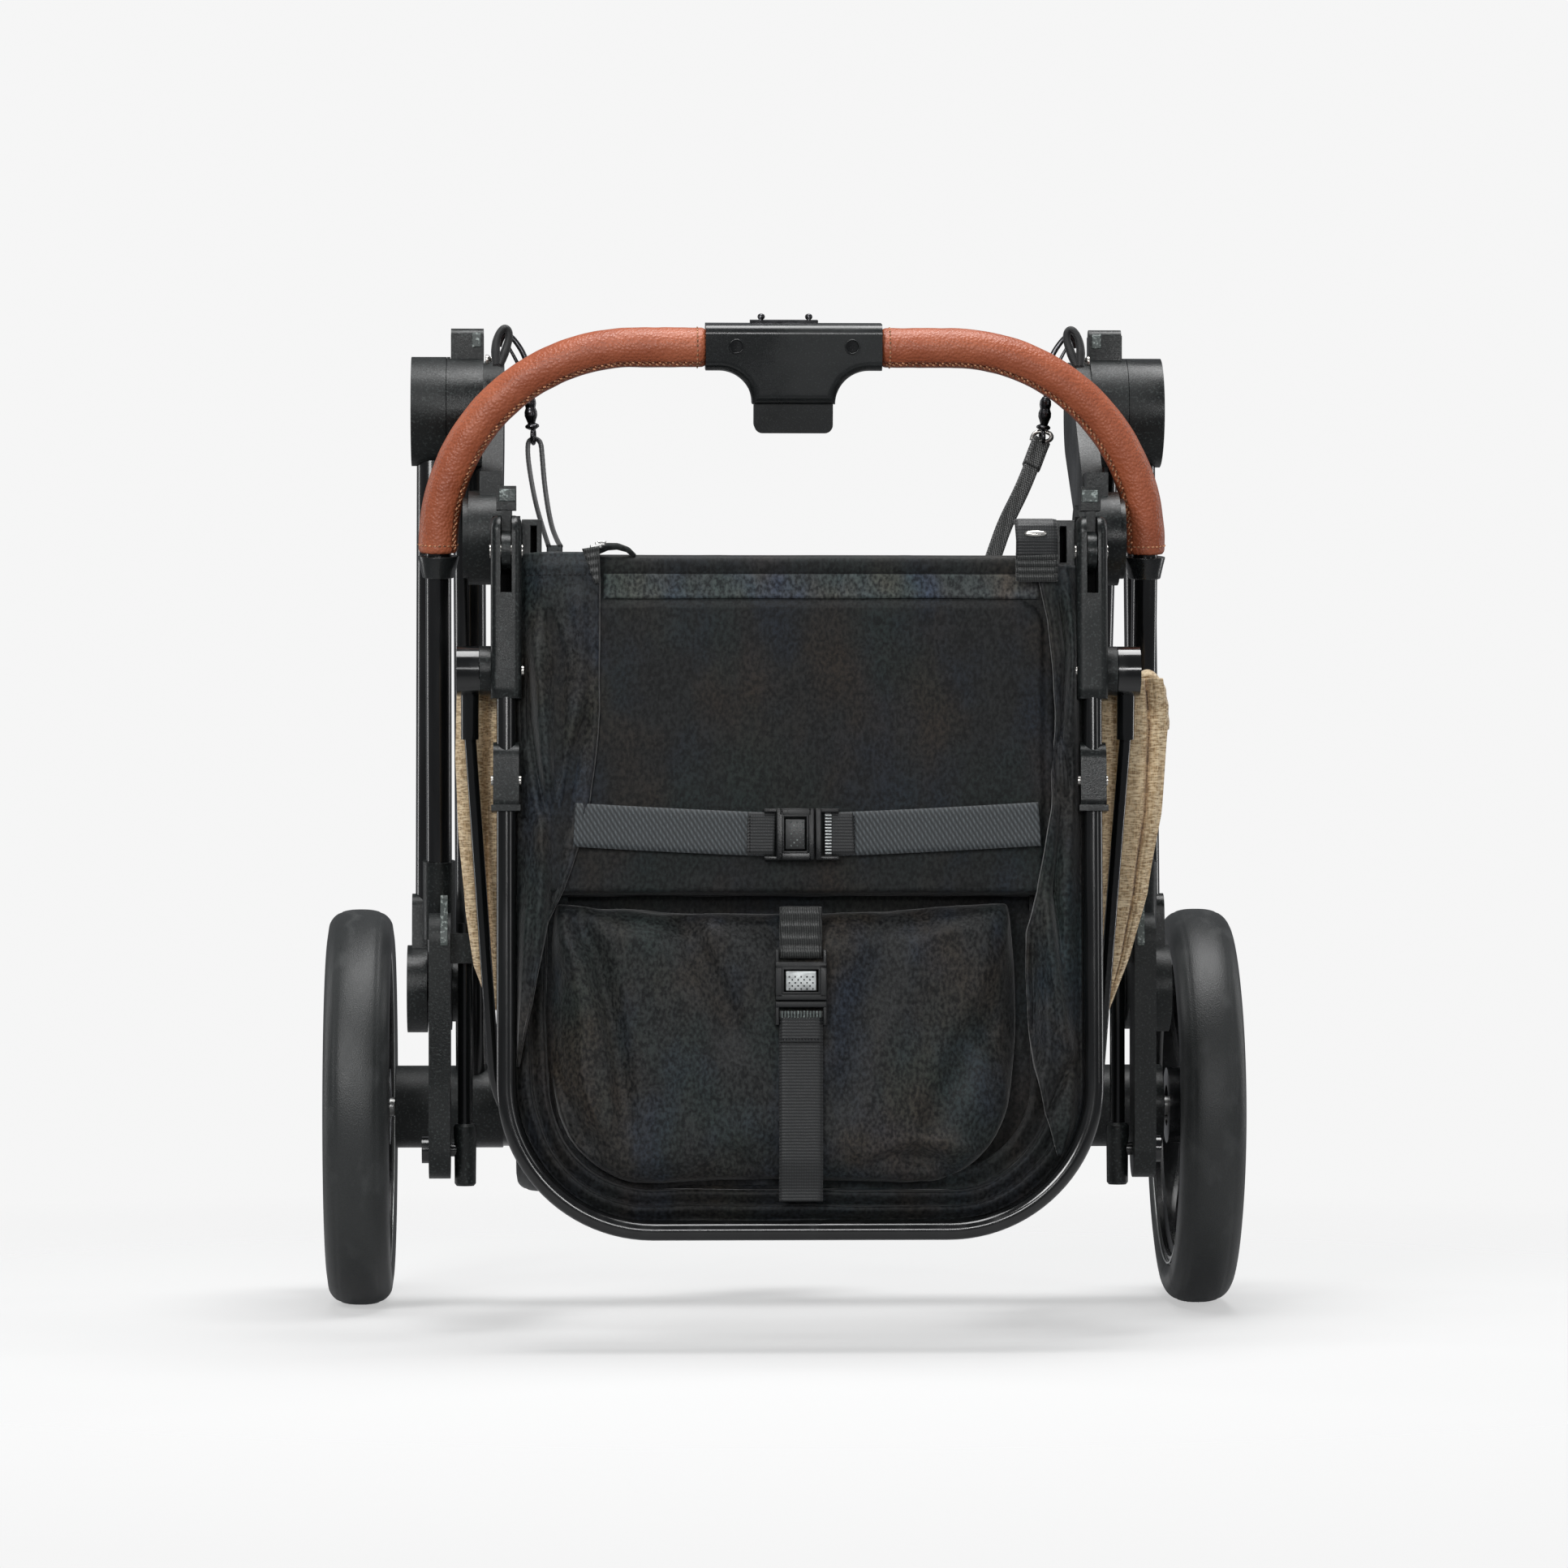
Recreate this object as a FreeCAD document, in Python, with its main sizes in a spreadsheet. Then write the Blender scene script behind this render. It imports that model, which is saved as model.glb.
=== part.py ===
import FreeCAD, Part
import math
import os

# Pet stroller, folded and standing on its two rear wheels.
# Millimetres. +X is to the right seen from the front, +Z is up, and the front faces -Y.
# Every place is written as (x, front, up): "front" runs towards -Y from the rear axle.

SIZES = {
    "axle_depth": 114.1,        # Y of the rear axle
    "rear_radius": 125,
    "rear_width": 41,
    "rear_bead": 101,
    "rear_centre": 265,         # wheel centre to the middle plane
    "small_radius": 75,
    "small_width": 32,
    "small_bead": 58,
    "small_centre": 150,
    "shaft_radius": 6,
    "running_gap": 0.05,        # radial clearance of every pin and shaft
    "bearing_radius": 13,
    "housing_radius": 26,
    "housing_inner": 175,
    "housing_outer": 243,
    "leg_radius": 10,
    "tube_wall": 1.6,
    "leg_centre": 195,
    "arm_inner": 173.4,
    "arm_outer": 186,
    "disc_outer": 193.6,
    "ring_outer": 208.4,
    "cap_inner": 208.7,
    "cap_outer": 230.2,
    "top_radius": 33.5,
    "lower_centre": 217,
    "lower_radius": 10,
    "hub_inner": 219.4,
    "hub_outer": 231.7,
    "hub_radius": 26.5,
    "plate_inner": 204.7,
    "plate_outer": 217.6,
    "handle_half": 212,
    "handle_radius": 7.7,
    "handle_corner": 118,
    "grip_radius": 12,
    "housing_half": 52.6,
    "frame_half": 170.6,        # centre plane of the seat frame's side tubes
    "tube_wide": 11,
    "tube_deep": 18,
    "frame_corner": 85,
    "frame_drop": 395,
    "bow_radius": 3.5,
    "webbing_width": 25.4,
    "webbing_thickness": 1.8,
}

# Pivots seen from the side, as (front, up).
AXLE = (0, 125)
TOP_HINGE = (122, 558)
LOWER_HUB = (160, 205)
DISC = (237, 476)
SEAT_PIVOT = (320, 465)
LEG_PIVOT = (225, 446)
FRONT_WHEEL = (115, 154)
LEVER_PIN = (210, 110)
BRAKE_PIVOT = (-40, 118)
STAY_PIVOT = (-12, -69)         # in the seat frame
SIDES = (("left", -1), ("right", 1))
SEAT_LEAN = -3.43
HANDLE_LEAN = 7.4
BOW_LEAN = 10.3
CASTER_TILT = 48.6              # steering axis, degrees above the front direction

doc = FreeCAD.newDocument("pet_stroller")
sheet = doc.addObject("Spreadsheet::Sheet", "dims")
for row, (alias, number) in enumerate(SIZES.items(), 1):
    sheet.set("A%d" % row, alias)
    sheet.set("B%d" % row, str(number))
    sheet.setAlias("B%d" % row, alias)
doc.recompute()
nodes = []


def value(size):
    """A size given as a sheet alias or as a plain number."""
    return float(getattr(sheet, size)) if isinstance(size, str) else float(size)


def formula(size):
    """The same size written for an expression."""
    return "dims.%s" % size if isinstance(size, str) else "%g" % size


def frame(front=0.0, up=0.0, lean=0.0, inside=None):
    """A frame on the middle plane, leaning back about the X axis by `lean` degrees."""
    turn = FreeCAD.Rotation(FreeCAD.Vector(1, 0, 0), lean)
    own = FreeCAD.Placement(FreeCAD.Vector(0, -front, up), turn)
    return inside.multiply(own) if inside else own


WORLD = FreeCAD.Placement(FreeCAD.Vector(0, value("axle_depth"), 0), FreeCAD.Rotation())
SEAT = frame(*SEAT_PIVOT, SEAT_LEAN, WORLD)
HANDLE = frame(192, 283, HANDLE_LEAN, WORLD)
BOW = frame(*STAY_PIVOT, BOW_LEAN, SEAT)


def point(place):
    x, front, up = place
    return FreeCAD.Vector(x, -front, up)


def add(kind, where, **sizes):
    """A Part primitive, its sizes bound to the sheet, placed in the document."""
    item = doc.addObject(kind, kind.split("::")[1].lower())
    for name, size in sizes.items():
        item.setExpression(name, size if isinstance(size, str) else "%.6g" % size)
    item.Placement = where
    return item


def across(side, near, far, place, radius, base=WORLD):
    """A round piece along X, between two distances from the middle plane, on one side."""
    start = value(near) if side > 0 else -value(far)
    spot = point((start, place[0], place[1]))
    where = base.multiply(FreeCAD.Placement(spot, FreeCAD.Rotation(FreeCAD.Vector(0, 1, 0), 90)))
    length = "%s - %s" % (formula(far), formula(near))
    return add("Part::Cylinder", where, Radius=formula(radius), Height=length)


def strut(start, end, radius, base=WORLD, end_radius=None):
    """A round rod, or a cone, between two points."""
    run = point(end) - point(start)
    turn = FreeCAD.Rotation(FreeCAD.Vector(0, 0, 1), run)
    where = base.multiply(FreeCAD.Placement(point(start), turn))
    if end_radius is None:
        return add("Part::Cylinder", where, Radius=formula(radius), Height=run.Length)
    return add("Part::Cone", where, Radius1=formula(radius), Radius2=formula(end_radius), Height=run.Length)


def tube(start, end, radius, base=WORLD):
    """A round tube with the sheet's wall."""
    inner = value(radius) - value("tube_wall")
    return cut(strut(start, end, radius, base), strut(start, end, inner, base))


def block(x, front, up, base=WORLD):
    """A box between pairs of x, front and up."""
    low, high = sorted(x)
    where = base.multiply(FreeCAD.Placement(point((low, front[1], up[0])), FreeCAD.Rotation()))
    sizes = {"Length": high - low, "Width": front[1] - front[0], "Height": up[1] - up[0]}
    return add("Part::Box", where, **sizes)


def mirrored(side, near, far):
    return (side * near, side * far)


def fuse(*items):
    whole = doc.addObject("Part::MultiFuse", "fuse")
    whole.Shapes = list(items)
    whole.Refine = True
    return whole


def cut(base, *tools):
    """base less each tool."""
    for tool in tools:
        step = doc.addObject("Part::Cut", "cut")
        step.Base = base
        step.Tool = tool
        base = step
    return base


def group(*items):
    """Separate solids kept in one sub-part."""
    whole = doc.addObject("Part::Compound", "group")
    whole.Links = list(items)
    return whole


def rounded(item, radius, pick):
    """Fillet on the edges that `pick` accepts."""
    doc.recompute()
    step = doc.addObject("Part::Fillet", "fillet")
    step.Base = item
    edges = [n for n, edge in enumerate(item.Shape.Edges, 1) if pick(edge)]
    step.Edges = [(n, radius, radius) for n in edges]
    return step


def keep(label, item):
    item.Label = label
    nodes.append(item)
    return item


def body_sketch(plane, edges, where):
    """A new body and a closed or open sketch on one of its own origin planes."""
    body = doc.addObject("PartDesign::Body", "body")
    body.Placement = where
    sketch = add_sketch(body, plane, edges)
    return body, sketch


def add_sketch(body, plane, edges):
    sketch = body.newObject("Sketcher::SketchObject", "sketch")
    support = [f for f in body.Origin.OriginFeatures if f.Role == plane][0]
    sketch.AttachmentSupport = [(support, "")]
    sketch.MapMode = "FlatFace"
    sketch.addGeometry(edges, False)
    return sketch


def flat(x, y):
    return FreeCAD.Vector(x, y, 0)


def rounded_path(corners, radius, closed=False):
    """Lines through the corners, each corner rounded by a tangent arc."""
    count = len(corners)
    joints = []
    for n, corner in enumerate(corners):
        if not closed and n in (0, count - 1):
            joints.append((corner, None, corner))
            continue
        before = (corners[n - 1] - corner).normalize()
        after = (corners[(n + 1) % count] - corner).normalize()
        half = before.getAngle(after) / 2
        reach = radius / math.tan(half)
        middle = (before + after).normalize() * (radius / math.sin(half) - radius)
        joints.append((corner + before * reach, corner + middle, corner + after * reach))
    edges = []
    for n, (start, middle, end) in enumerate(joints):
        if middle:
            edges.append(Part.Arc(start, middle, end))
        if n + 1 < count or closed:
            edges.append(Part.LineSegment(end, joints[(n + 1) % count][0]))
    return edges


def pipe(spine_edges, section_edges, where):
    """A section on the XY plane carried along a route on the XZ plane."""
    body, section = body_sketch("XY_Plane", section_edges, where)
    spine = add_sketch(body, "XZ_Plane", spine_edges)
    doc.recompute()
    sweep = body.newObject("PartDesign::AdditivePipe", "pipe")
    sweep.Profile = section
    sweep.Spine = (spine, ["Edge%d" % (n + 1) for n in range(len(spine_edges))])
    section.Visibility = False
    return body


def ring_section(x, outer, inner=None):
    """Round tube section about (x, 0)."""
    circles = [Part.Circle(flat(x, 0), FreeCAD.Vector(0, 0, 1), value(outer))]
    if inner:
        circles.append(Part.Circle(flat(x, 0), FreeCAD.Vector(0, 0, 1), value(inner)))
    return circles


def oval_section(x, wide, deep):
    """Flat-oval tube section about (x, 0), longer towards the front."""
    half = wide / 2
    run = deep / 2 - half
    left, right = x - half, x + half
    return [
        Part.LineSegment(flat(right, -run), flat(right, run)),
        Part.Arc(flat(right, run), flat(x, run + half), flat(left, run)),
        Part.LineSegment(flat(left, run), flat(left, -run)),
        Part.Arc(flat(left, -run), flat(x, -run - half), flat(right, -run)),
    ]


def side_plate(side, near, far, a, radius_a, b, radius_b, base=WORLD):
    """A plate across X whose outline is two discs and the lines that touch both."""
    start = flat(-a[0], a[1])
    end = flat(-b[0], b[1])
    run = end - start
    tilt = math.acos((radius_a - radius_b) / run.Length)
    heading = math.atan2(run.y, run.x)

    def rim(centre, radius, angle):
        return centre + flat(math.cos(angle), math.sin(angle)) * radius

    near_a, far_a = rim(start, radius_a, heading + tilt), rim(start, radius_a, heading - tilt)
    near_b, far_b = rim(end, radius_b, heading + tilt), rim(end, radius_b, heading - tilt)
    outline = [
        Part.Arc(near_a, rim(start, radius_a, heading + math.pi), far_a),
        Part.LineSegment(far_a, far_b),
        Part.Arc(far_b, rim(end, radius_b, heading), near_b),
        Part.LineSegment(near_b, near_a),
    ]
    low = value(near) if side > 0 else -value(far)
    where = base.multiply(FreeCAD.Placement(FreeCAD.Vector(low, 0, 0), FreeCAD.Rotation()))
    body, sketch = body_sketch("YZ_Plane", outline, where)
    doc.recompute()
    pad = body.newObject("PartDesign::Pad", "pad")
    pad.Profile = sketch
    pad.setExpression("Length", "%s - %s" % (formula(far), formula(near)))
    return body


def front_pad(outline, front, depth, base):
    """A plate parallel to the front view: outline in (x, up), `depth` thick, from `front` back."""
    body, sketch = body_sketch("XZ_Plane", outline, base.multiply(frame(front)))
    doc.recompute()
    pad = body.newObject("PartDesign::Pad", "pad")
    pad.Profile = sketch
    pad.Length = depth
    pad.Reversed = True
    return body


def lathe(profile, x, place):
    """A turned piece about X; the profile is in (x, radius)."""
    where = WORLD.multiply(FreeCAD.Placement(point((x, place[0], place[1])), FreeCAD.Rotation()))
    body, sketch = body_sketch("XY_Plane", profile, where)
    doc.recompute()
    turn = body.newObject("PartDesign::Revolution", "revolution")
    turn.Profile = sketch
    turn.ReferenceAxis = (sketch, ["H_Axis"])
    turn.Angle = 360
    return body


def tyre(label, side, centre, radius, width, bead, place):
    """Crowned tyre with rounded shoulders and a moulding line round the tread."""
    half = width / 2
    crown = radius - 0.16 * half
    bead_half = half - 3.5
    wall = bead + 0.42 * (radius - bead)
    line = 0.6
    points = [flat(line, radius), flat(0.36 * width, crown), flat(half, wall)]
    shoulder = flat(0.472 * width, crown - 0.09 * width)
    crown_middle = flat(0.2 * width, radius - 0.045 * half)
    profile = [Part.LineSegment(flat(-bead_half, bead), flat(bead_half, bead))]
    for sign in (1, -1):
        flip = [flat(sign * p.x, p.y) for p in points]
        profile.append(Part.LineSegment(flat(sign * bead_half, bead), flip[2]))
        profile.append(Part.Arc(flip[2], flat(sign * shoulder.x, shoulder.y), flip[1]))
        profile.append(Part.Arc(flip[1], flat(sign * crown_middle.x, crown_middle.y), flip[0]))
        profile.append(Part.LineSegment(flip[0], flat(0, radius - 0.9)))
    return keep(label, lathe(profile, side * centre, place))


def closed_lines(points):
    return [Part.LineSegment(a, points[(n + 1) % len(points)]) for n, a in enumerate(points)]


def rim(label, side, centre, width, bead, hub, bore, spokes, place):
    """Rim barrel with raised lips, spokes and a hub with a through bore."""
    half = width / 2 - 3.5
    barrel = [flat(-half, bead), flat(half, bead), flat(half, bead - 5), flat(half - 3, bead - 5),
              flat(half - 5, bead - 8), flat(5 - half, bead - 8), flat(3 - half, bead - 5),
              flat(-half, bead - 5)]
    pieces = [lathe(closed_lines(barrel), side * centre, place)]
    hub_half = width / 2 - 2
    hub_piece = across(side, centre - hub_half, centre + hub_half, place, hub)
    pieces.append(hub_piece)
    for n in range(spokes):
        turn = FreeCAD.Rotation(FreeCAD.Vector(1, 0, 0), n * 360.0 / spokes + 12)
        spot = FreeCAD.Placement(point((side * centre, place[0], place[1])), turn)
        slab = FreeCAD.Placement(FreeCAD.Vector(-6, -hub * 0.35, hub * 0.7), FreeCAD.Rotation())
        spoke = add("Part::Box", WORLD.multiply(spot).multiply(slab),
                    Length=12, Width=hub * 0.7, Height=bead - 6 - hub * 0.7)
        pieces.append(spoke)
    hole = across(side, centre - hub_half - 1, centre + hub_half + 1, place, bore)
    return keep(label, cut(fuse(*pieces), hole))


# ---- rear axle and rear legs -------------------------------------------------------------
shaft = "shaft_radius"
keep("axle_shaft", across(1, -277, 277, AXLE, shaft))
ears = [block(mirrored(side, 38, 46), (-48, -18), (108, 128)) for _, side in SIDES]
ear_bore = across(1, -50, 50, BRAKE_PIVOT, 4 + value("running_gap"))
axle_body = across(1, -value("housing_inner"), value("housing_inner"), AXLE, 25)
axle_bore = across(1, -180, 180, AXLE, 22)
keep("axle_tube", cut(fuse(axle_body, *ears), axle_bore, ear_bore))

pedal_arm = block((-36, 36), (-86, -38), (114, 122))
pedal_lip = block((-36, 36), (-90, -82), (114, 130))
pedal_pin = across(1, -46, 46, BRAKE_PIVOT, 4)
keep("brake_pedal", fuse(pedal_arm, pedal_lip, pedal_pin))

housings = []
for name, side in SIDES:
    # axle end housing, with a flange towards the wheel
    barrel = across(side, "housing_inner", "housing_outer", AXLE, "housing_radius")
    bore = across(side, 170, 250, AXLE, shaft)
    housing = cut(barrel, bore)
    housings.append(housing)

    # top hinge: ring, arm down to the front disc, and the pocket of the release button
    arm = side_plate(side, "arm_inner", "arm_outer", TOP_HINGE, 31, DISC, 22)
    ring = across(side, "arm_outer", "ring_outer", TOP_HINGE, "top_radius")
    disc = across(side, "arm_inner", "disc_outer", DISC, 28)
    flange = across(side, "disc_outer", 197, DISC, 24)
    top_block = block(mirrored(side, 174, 187), (224, 250), (496, 515))
    pin_bore = across(side, 195, 210, TOP_HINGE, 8 + value("running_gap"))
    pocket = block(mirrored(side, 185.5, 206.5), (111.5, 132.5), (576, 610))
    arm_whole = keep("hinge_arm_" + name, cut(fuse(arm, ring, disc, flange, top_block), pin_bore, pocket))
    button_body = block(mirrored(side, 186, 206), (112, 132), (580, 605))
    button_cap = across(side, 186, 206, (122, 603), 6)
    keep("hinge_button_" + name, fuse(button_body, button_cap))

    # rear leg
    leg_x = side * value("leg_centre")
    leg = tube((leg_x, 6, 146.3), (leg_x, 118, 543.8), "leg_radius")
    keep("rear_leg_" + name, cut(leg, housing, arm_whole))
keep("axle_housings", group(*housings))

# ---- rear wheels ---------------------------------------------------------------------------
for name, side in SIDES:
    centre = value("rear_centre")
    tyre("rear_tyre_" + name, side, centre, value("rear_radius"), value("rear_width"), value("rear_bead"), AXLE)
    rim("rear_rim_" + name, side, centre, value("rear_width"), value("rear_bead"), 24, "bearing_radius", 5, AXLE)
    races = []
    for inner_face in (248, 268):
        race = across(side, inner_face, inner_face + 8, AXLE, "bearing_radius")
        races.append(cut(race, across(side, 240, 290, AXLE, value(shaft) + value("running_gap"))))
    keep("rear_bearings_" + name, group(*races))

# ---- link plates, front leg cross tube -------------------------------------------------------
links = []
for name, side in SIDES:
    near = value("frame_half") - 2.8
    far = value("frame_half") + 2.8
    to_seat = side_plate(side, near, far, DISC, 20, SEAT_PIVOT, 11)
    to_leg = side_plate(side, near, far, DISC, 20, LEG_PIVOT, 13)
    post = block(mirrored(side, near, far), (306, 318), (466, 492))
    head = block(mirrored(side, near - 3, far + 3), (304, 319), (489, 503))
    bore = across(side, near - 5, far + 5, SEAT_PIVOT, 4 + value("running_gap"))
    links.append(cut(fuse(to_seat, to_leg, post, head), bore))
keep("link_plates", group(*links))
keep("leg_cross_tube", across(1, 2.8 - value("frame_half"), value("frame_half") - 2.8, LEG_PIVOT, 7))

# ---- lower handle: turns about the top hinge -----------------------------------------------
fall = FreeCAD.Vector(LOWER_HUB[0] - TOP_HINGE[0], LOWER_HUB[1] - TOP_HINGE[1], 0)
length = fall.Length
fall.normalize()


def on_lower(distance):
    """Side-view point on the lower handle, measured from the top hinge."""
    return (TOP_HINGE[0] + fall.x * distance, TOP_HINGE[1] + fall.y * distance)


caps = []
hubs = []
for name, side in SIDES:
    x = side * value("lower_centre")
    cap_disc = across(side, "cap_inner", "cap_outer", TOP_HINGE, "top_radius")
    cap_pin = across(side, 196, 209, TOP_HINGE, 8)
    cap = fuse(cap_disc, cap_pin)
    caps.append(cap)
    hub_disc = across(side, "hub_inner", "hub_outer", LOWER_HUB, "hub_radius")
    tab = side_plate(side, "hub_inner", 229, LOWER_HUB, 12, on_lower(length - 48), 10)
    hub_pin = across(side, 200, 220, LOWER_HUB, 8)
    inner_cap = across(side, 199.7, 204.4, LOWER_HUB, 20)
    hub = fuse(hub_disc, tab, hub_pin, inner_cap)
    hubs.append(hub)
    start = on_lower(value("top_radius") - 4)
    end = on_lower(length - 32)
    ring_room = across(side, 190, "cap_inner", TOP_HINGE, value("top_radius") + 1)
    lower_tube = tube((x, *start), (x, *end), "lower_radius")
    keep("lower_handle_" + name, cut(lower_tube, cap, hub, ring_room))
keep("hinge_caps", group(*caps))
keep("hub_discs", group(*hubs))

# ---- upper handle: turns about the lower hub ------------------------------------------------
half = value("handle_half")
corner = value("handle_corner")
tube_foot = -45
arc_level = 191.6
top_level = arc_level + corner
foot = frame(0, tube_foot, 0, HANDLE)
arch = [flat(-half, 0), flat(-half, top_level - tube_foot), flat(half, top_level - tube_foot), flat(half, 0)]
handle_tube = pipe(rounded_path(arch, corner), ring_section(-half, "handle_radius", value("handle_radius") - 1.5), foot)
keep("handle_tube", handle_tube)

collar_foot, collar_top = 171.4, 184.5
collars = []
pull_rods = []
for name, side in SIDES:
    x = side * half
    bore = strut((x, 0, -60), (x, 0, 200), "handle_radius", HANDLE)
    bar = side_plate(side, "plate_inner", "plate_outer", (213, 235), 17, (213, 110), 17)
    neck = side_plate(side, "plate_inner", "plate_outer", LOWER_HUB, 25, (213, 222), 17)
    sleeve = strut((x, 0, -47), (x, 0, 0), 9.8, HANDLE)
    guide = block(mirrored(side, 191, 206), (202, 218), (222, 240))
    hub_bore = across(side, 195, 225, LOWER_HUB, 8 + value("running_gap"))
    rod_x = side * 196
    rod = strut((rod_x, LEVER_PIN[0], 100), (rod_x, LEVER_PIN[0], 246), 4.5)
    rod_end = strut((rod_x, LEVER_PIN[0], 92), (rod_x, LEVER_PIN[0], 124), 6)
    lever_pin = across(side, 196, 222, LEVER_PIN, 4)
    pin_head = across(side, 217.6, 222, LEVER_PIN, 8)
    pull_rod = fuse(rod, rod_end, lever_pin, pin_head)
    pull_rods.append(pull_rod)
    bracket = cut(fuse(bar, neck, sleeve, guide), bore, hub_bore, pull_rod)
    keep("fold_bracket_" + name, bracket)
    collar = strut((x, 0, collar_foot), (x, 0, collar_top), 9.5, HANDLE, 12.4)
    collars.append(cut(collar, bore))
    route = [flat(-half, 0), flat(-half, top_level - 186.5), flat(-value("housing_half"), top_level - 186.5)]
    grip_frame = frame(0, 186.5, 0, HANDLE)
    if side > 0:
        grip_frame = grip_frame.multiply(FreeCAD.Placement(FreeCAD.Vector(), FreeCAD.Rotation(180, 0, 0)))
    grip = pipe(rounded_path(route, corner), ring_section(-half, "grip_radius", "handle_radius"), grip_frame)
    keep("leather_grip_" + name, grip)
keep("handle_collars", group(*collars))
keep("pull_rods", group(*pull_rods))

# control housing in two shells about the middle of the handle
wide = value("housing_half")
roof, shoulder, floor = 324.0, 296.3, 276.3
shell_depth = 14
lip = 24.8
sweep = 20.0
bend = sweep * (1 - math.sqrt(0.5))


def shell_outline():
    right = [flat(lip + sweep, shoulder), flat(lip + bend, floor + sweep - bend), flat(lip, floor)]
    return [
        Part.LineSegment(flat(-wide, roof), flat(wide, roof)),
        Part.LineSegment(flat(wide, roof), flat(wide, shoulder)),
        Part.LineSegment(flat(wide, shoulder), right[0]),
        Part.Arc(right[0], flat(lip + bend, floor + sweep - bend), right[2]),
        Part.LineSegment(right[2], flat(-lip, floor)),
        Part.Arc(flat(-lip, floor), flat(-lip - bend, floor + sweep - bend), flat(-lip - sweep, shoulder)),
        Part.LineSegment(flat(-lip - sweep, shoulder), flat(-wide, shoulder)),
        Part.LineSegment(flat(-wide, shoulder), flat(-wide, roof)),
    ]


def outer_edge(front):
    """Picks the long edges of a shell at one front position of the handle frame."""
    inverse = HANDLE.inverse()

    def pick(edge):
        spots = [inverse.multVec(v.Point) for v in edge.Vertexes]
        return all(abs(spot.y + front) < 0.01 for spot in spots) and abs(spots[0].z - spots[-1].z) < 0.01
    return pick


button_pocket = block((-23.8, 23.8), (-9.3, 9.3), (270, 291), HANDLE)
through = strut((-60, 0, top_level), (60, 0, top_level), "handle_radius", HANDLE)
screw_level = 311.2
screw_seats = [strut((x, 12.2, screw_level), (x, 16, screw_level), 3.8, HANDLE) for x in (-34.5, 34.5)]
front_shell = front_pad(shell_outline(), shell_depth, shell_depth, HANDLE)
back_shell = front_pad(shell_outline(), 0, shell_depth, HANDLE)
front_shell = rounded(front_shell, 6, outer_edge(shell_depth))
back_shell = rounded(back_shell, 6, outer_edge(-shell_depth))
keep("housing_front", cut(front_shell, button_pocket, through, *screw_seats))
keep("housing_back", cut(back_shell, button_pocket, through))
screws = []
for x in (-34.5, 34.5):
    head = strut((x, 12.2, screw_level), (x, 13.6, screw_level), 3.6, HANDLE)
    slots = [block((x - 2, x + 2), (12.9, 14), (screw_level - 0.5, screw_level + 0.5), HANDLE),
             block((x - 0.5, x + 0.5), (12.9, 14), (screw_level - 2, screw_level + 2), HANDLE)]
    screws.append(cut(head, *slots))
keep("housing_screws", group(*screws))

button_outline = rounded_path([flat(-23.5, 283), flat(-23.5, 259), flat(23.5, 259), flat(23.5, 283)], 5)
button_outline.append(Part.LineSegment(flat(23.5, 283), flat(-23.5, 283)))
keep("release_button", front_pad(button_outline, 9, 18, HANDLE))
spring_body = strut((0, 0, 283.2), (0, 0, 290.8), 5, HANDLE)
keep("button_spring", cut(spring_body, strut((0, 0, 280), (0, 0, 295), 3.8, HANDLE)))

plate = block((-26, 14.5), (-5, 5), (roof, roof + 2), HANDLE)
loops = [plate]
for x in (-20, 9):
    turn = FreeCAD.Placement(point((x, 0, roof + 1.6)), FreeCAD.Rotation(FreeCAD.Vector(0, 1, 0), 90))
    loops.append(add("Part::Torus", HANDLE.multiply(turn), Radius1=2.6, Radius2=0.8))
below = block((-30, 20), (-8, 8), (roof - 6, roof), HANDLE)
keep("strap_plate", cut(fuse(*loops), below))

# ---- seat frame: turns about the seat pivot --------------------------------------------------
half = value("frame_half")
drop = value("frame_drop")
oval_wide, oval_deep = value("tube_wide"), value("tube_deep")
tube_top = -35
route = [flat(-half, 0), flat(-half, -drop - tube_top), flat(half, -drop - tube_top), flat(half, 0)]
u_base = frame(0, tube_top, 0, SEAT)
wall = value("tube_wall")
u_route = rounded_path(route, value("frame_corner"))
u_solid = pipe(u_route, oval_section(-half, oval_wide, oval_deep), u_base)
u_hollow = pipe(u_route, oval_section(-half, oval_wide - 2 * wall, oval_deep - 2 * wall), u_base)
keep("u_frame", cut(u_solid, u_hollow))

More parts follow.
